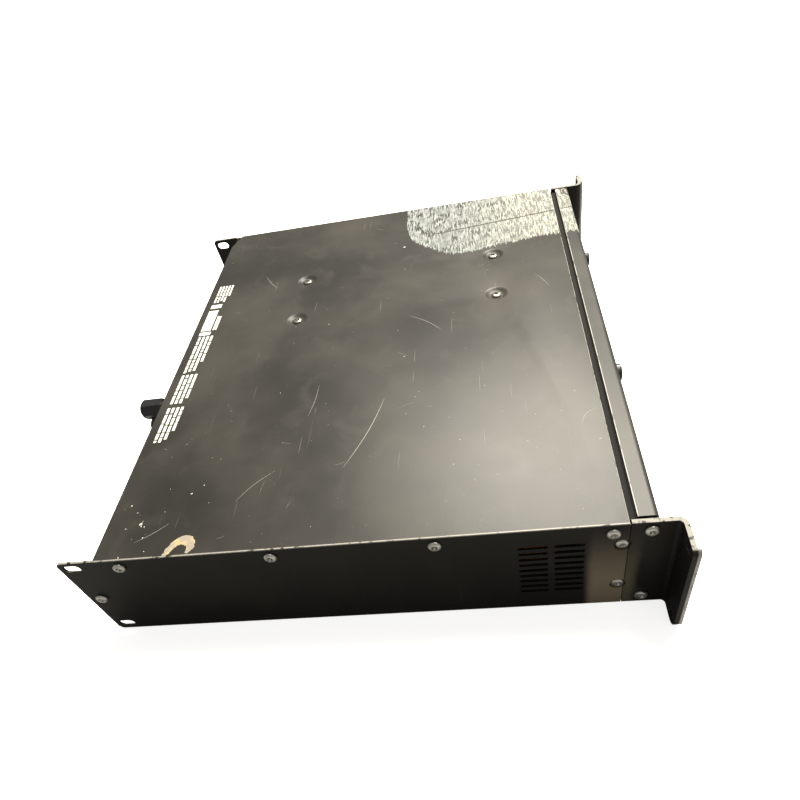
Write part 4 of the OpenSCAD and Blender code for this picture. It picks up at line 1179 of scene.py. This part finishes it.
def key_light(stage):
    """The large soft light, aimed at the middle of the cover."""
    light = bpy.data.lights.new("key", "AREA")
    light.shape = "RECTANGLE"
    light.size = stage.key_size
    light.size_y = 0.8 * stage.key_size
    light.energy = stage.key_power
    light.color = stage.key_colour
    lamp = bpy.data.objects.new("key", light)
    towards = Matrix.Rotation(stage.key_heading, 3, "Z") @ Vector(
        (math.cos(stage.key_height), 0, math.sin(stage.key_height)))
    lamp.location = Vector((0, 0, COVER_TOP)) + towards * stage.key_distance
    lamp.rotation_euler = towards.to_track_quat("Z", "Y").to_euler()
    bpy.context.scene.collection.objects.link(lamp)


def stage_camera(stage):
    """The camera, above and beside the near rear corner."""
    camera = bpy.data.cameras.new("camera")
    camera.lens = stage.lens
    camera.sensor_width = 36
    camera.shift_x = stage.shift_x
    camera.shift_y = stage.shift_y
    camera.clip_start = 10 * MM
    viewer = bpy.data.objects.new("camera", camera)
    turn = (
        Matrix.Rotation(stage.heading, 4, "Z") @ Matrix.Rotation(stage.tilt, 4, "X")
        @ Matrix.Rotation(stage.roll, 4, "Z")
    )
    place = Matrix.Translation((stage.camera_x, stage.camera_y, stage.camera_z))
    viewer.matrix_world = place @ turn
    bpy.context.scene.collection.objects.link(viewer)
    bpy.context.scene.camera = viewer


class AMP_OT_stage(bpy.types.Operator):
    """Sets up the pale floor, the soft light and the camera"""

    bl_idname = "rack_amp.stage"
    bl_label = "Stage"

    def execute(self, context):
        stage = context.scene.amp_stage
        context.scene.view_settings.view_transform = "Standard"
        pale_floor(stage)
        even_sky(stage)
        key_light(stage)
        stage_camera(stage)
        return {"FINISHED"}


STEPS = (
    AMP_OT_stage, AMP_OT_case, AMP_OT_cover, AMP_OT_prints, AMP_OT_wear, AMP_OT_screws,
    AMP_OT_front_controls, AMP_OT_rear_fittings, AMP_OT_insides,
)
SETTINGS = {
    "amp_cover": AmpCoverSettings, "amp_screw": AmpScrewSettings,
    "amp_finish": AmpFinishSettings, "amp_stage": AmpStageSettings,
}


class AMP_PT_sidebar(bpy.types.Panel):
    """Lists the steps that build the amplifier's looks"""

    bl_idname = "AMP_PT_sidebar"
    bl_label = "Rack Amplifier"
    bl_space_type = "VIEW_3D"
    bl_region_type = "UI"
    bl_category = "Rack Amplifier"

    def draw(self, context):
        for step in STEPS:
            self.layout.operator(step.bl_idname)
        for name, group in SETTINGS.items():
            box = self.layout.box()
            box.label(text=group.__doc__)
            for setting in group.__annotations__:
                box.prop(getattr(context.scene, name), setting)


def register():
    for group in SETTINGS.values():
        bpy.utils.register_class(group)
    for name, group in SETTINGS.items():
        setattr(bpy.types.Scene, name, bpy.props.PointerProperty(type=group))
    for step in STEPS:
        bpy.utils.register_class(step)
    bpy.utils.register_class(AMP_PT_sidebar)


def unregister():
    bpy.utils.unregister_class(AMP_PT_sidebar)
    for step in reversed(STEPS):
        bpy.utils.unregister_class(step)
    for name in SETTINGS:
        delattr(bpy.types.Scene, name)
    for group in SETTINGS.values():
        bpy.utils.unregister_class(group)


def main():
    """Builds everything in order."""
    register()
    bpy.ops.rack_amp.stage()
    bpy.ops.rack_amp.case()
    bpy.ops.rack_amp.cover()
    bpy.ops.rack_amp.prints()
    bpy.ops.rack_amp.wear()
    bpy.ops.rack_amp.screws()
    bpy.ops.rack_amp.front_controls()
    bpy.ops.rack_amp.rear_fittings()
    bpy.ops.rack_amp.insides()


if __name__ == "__main__":
    main()
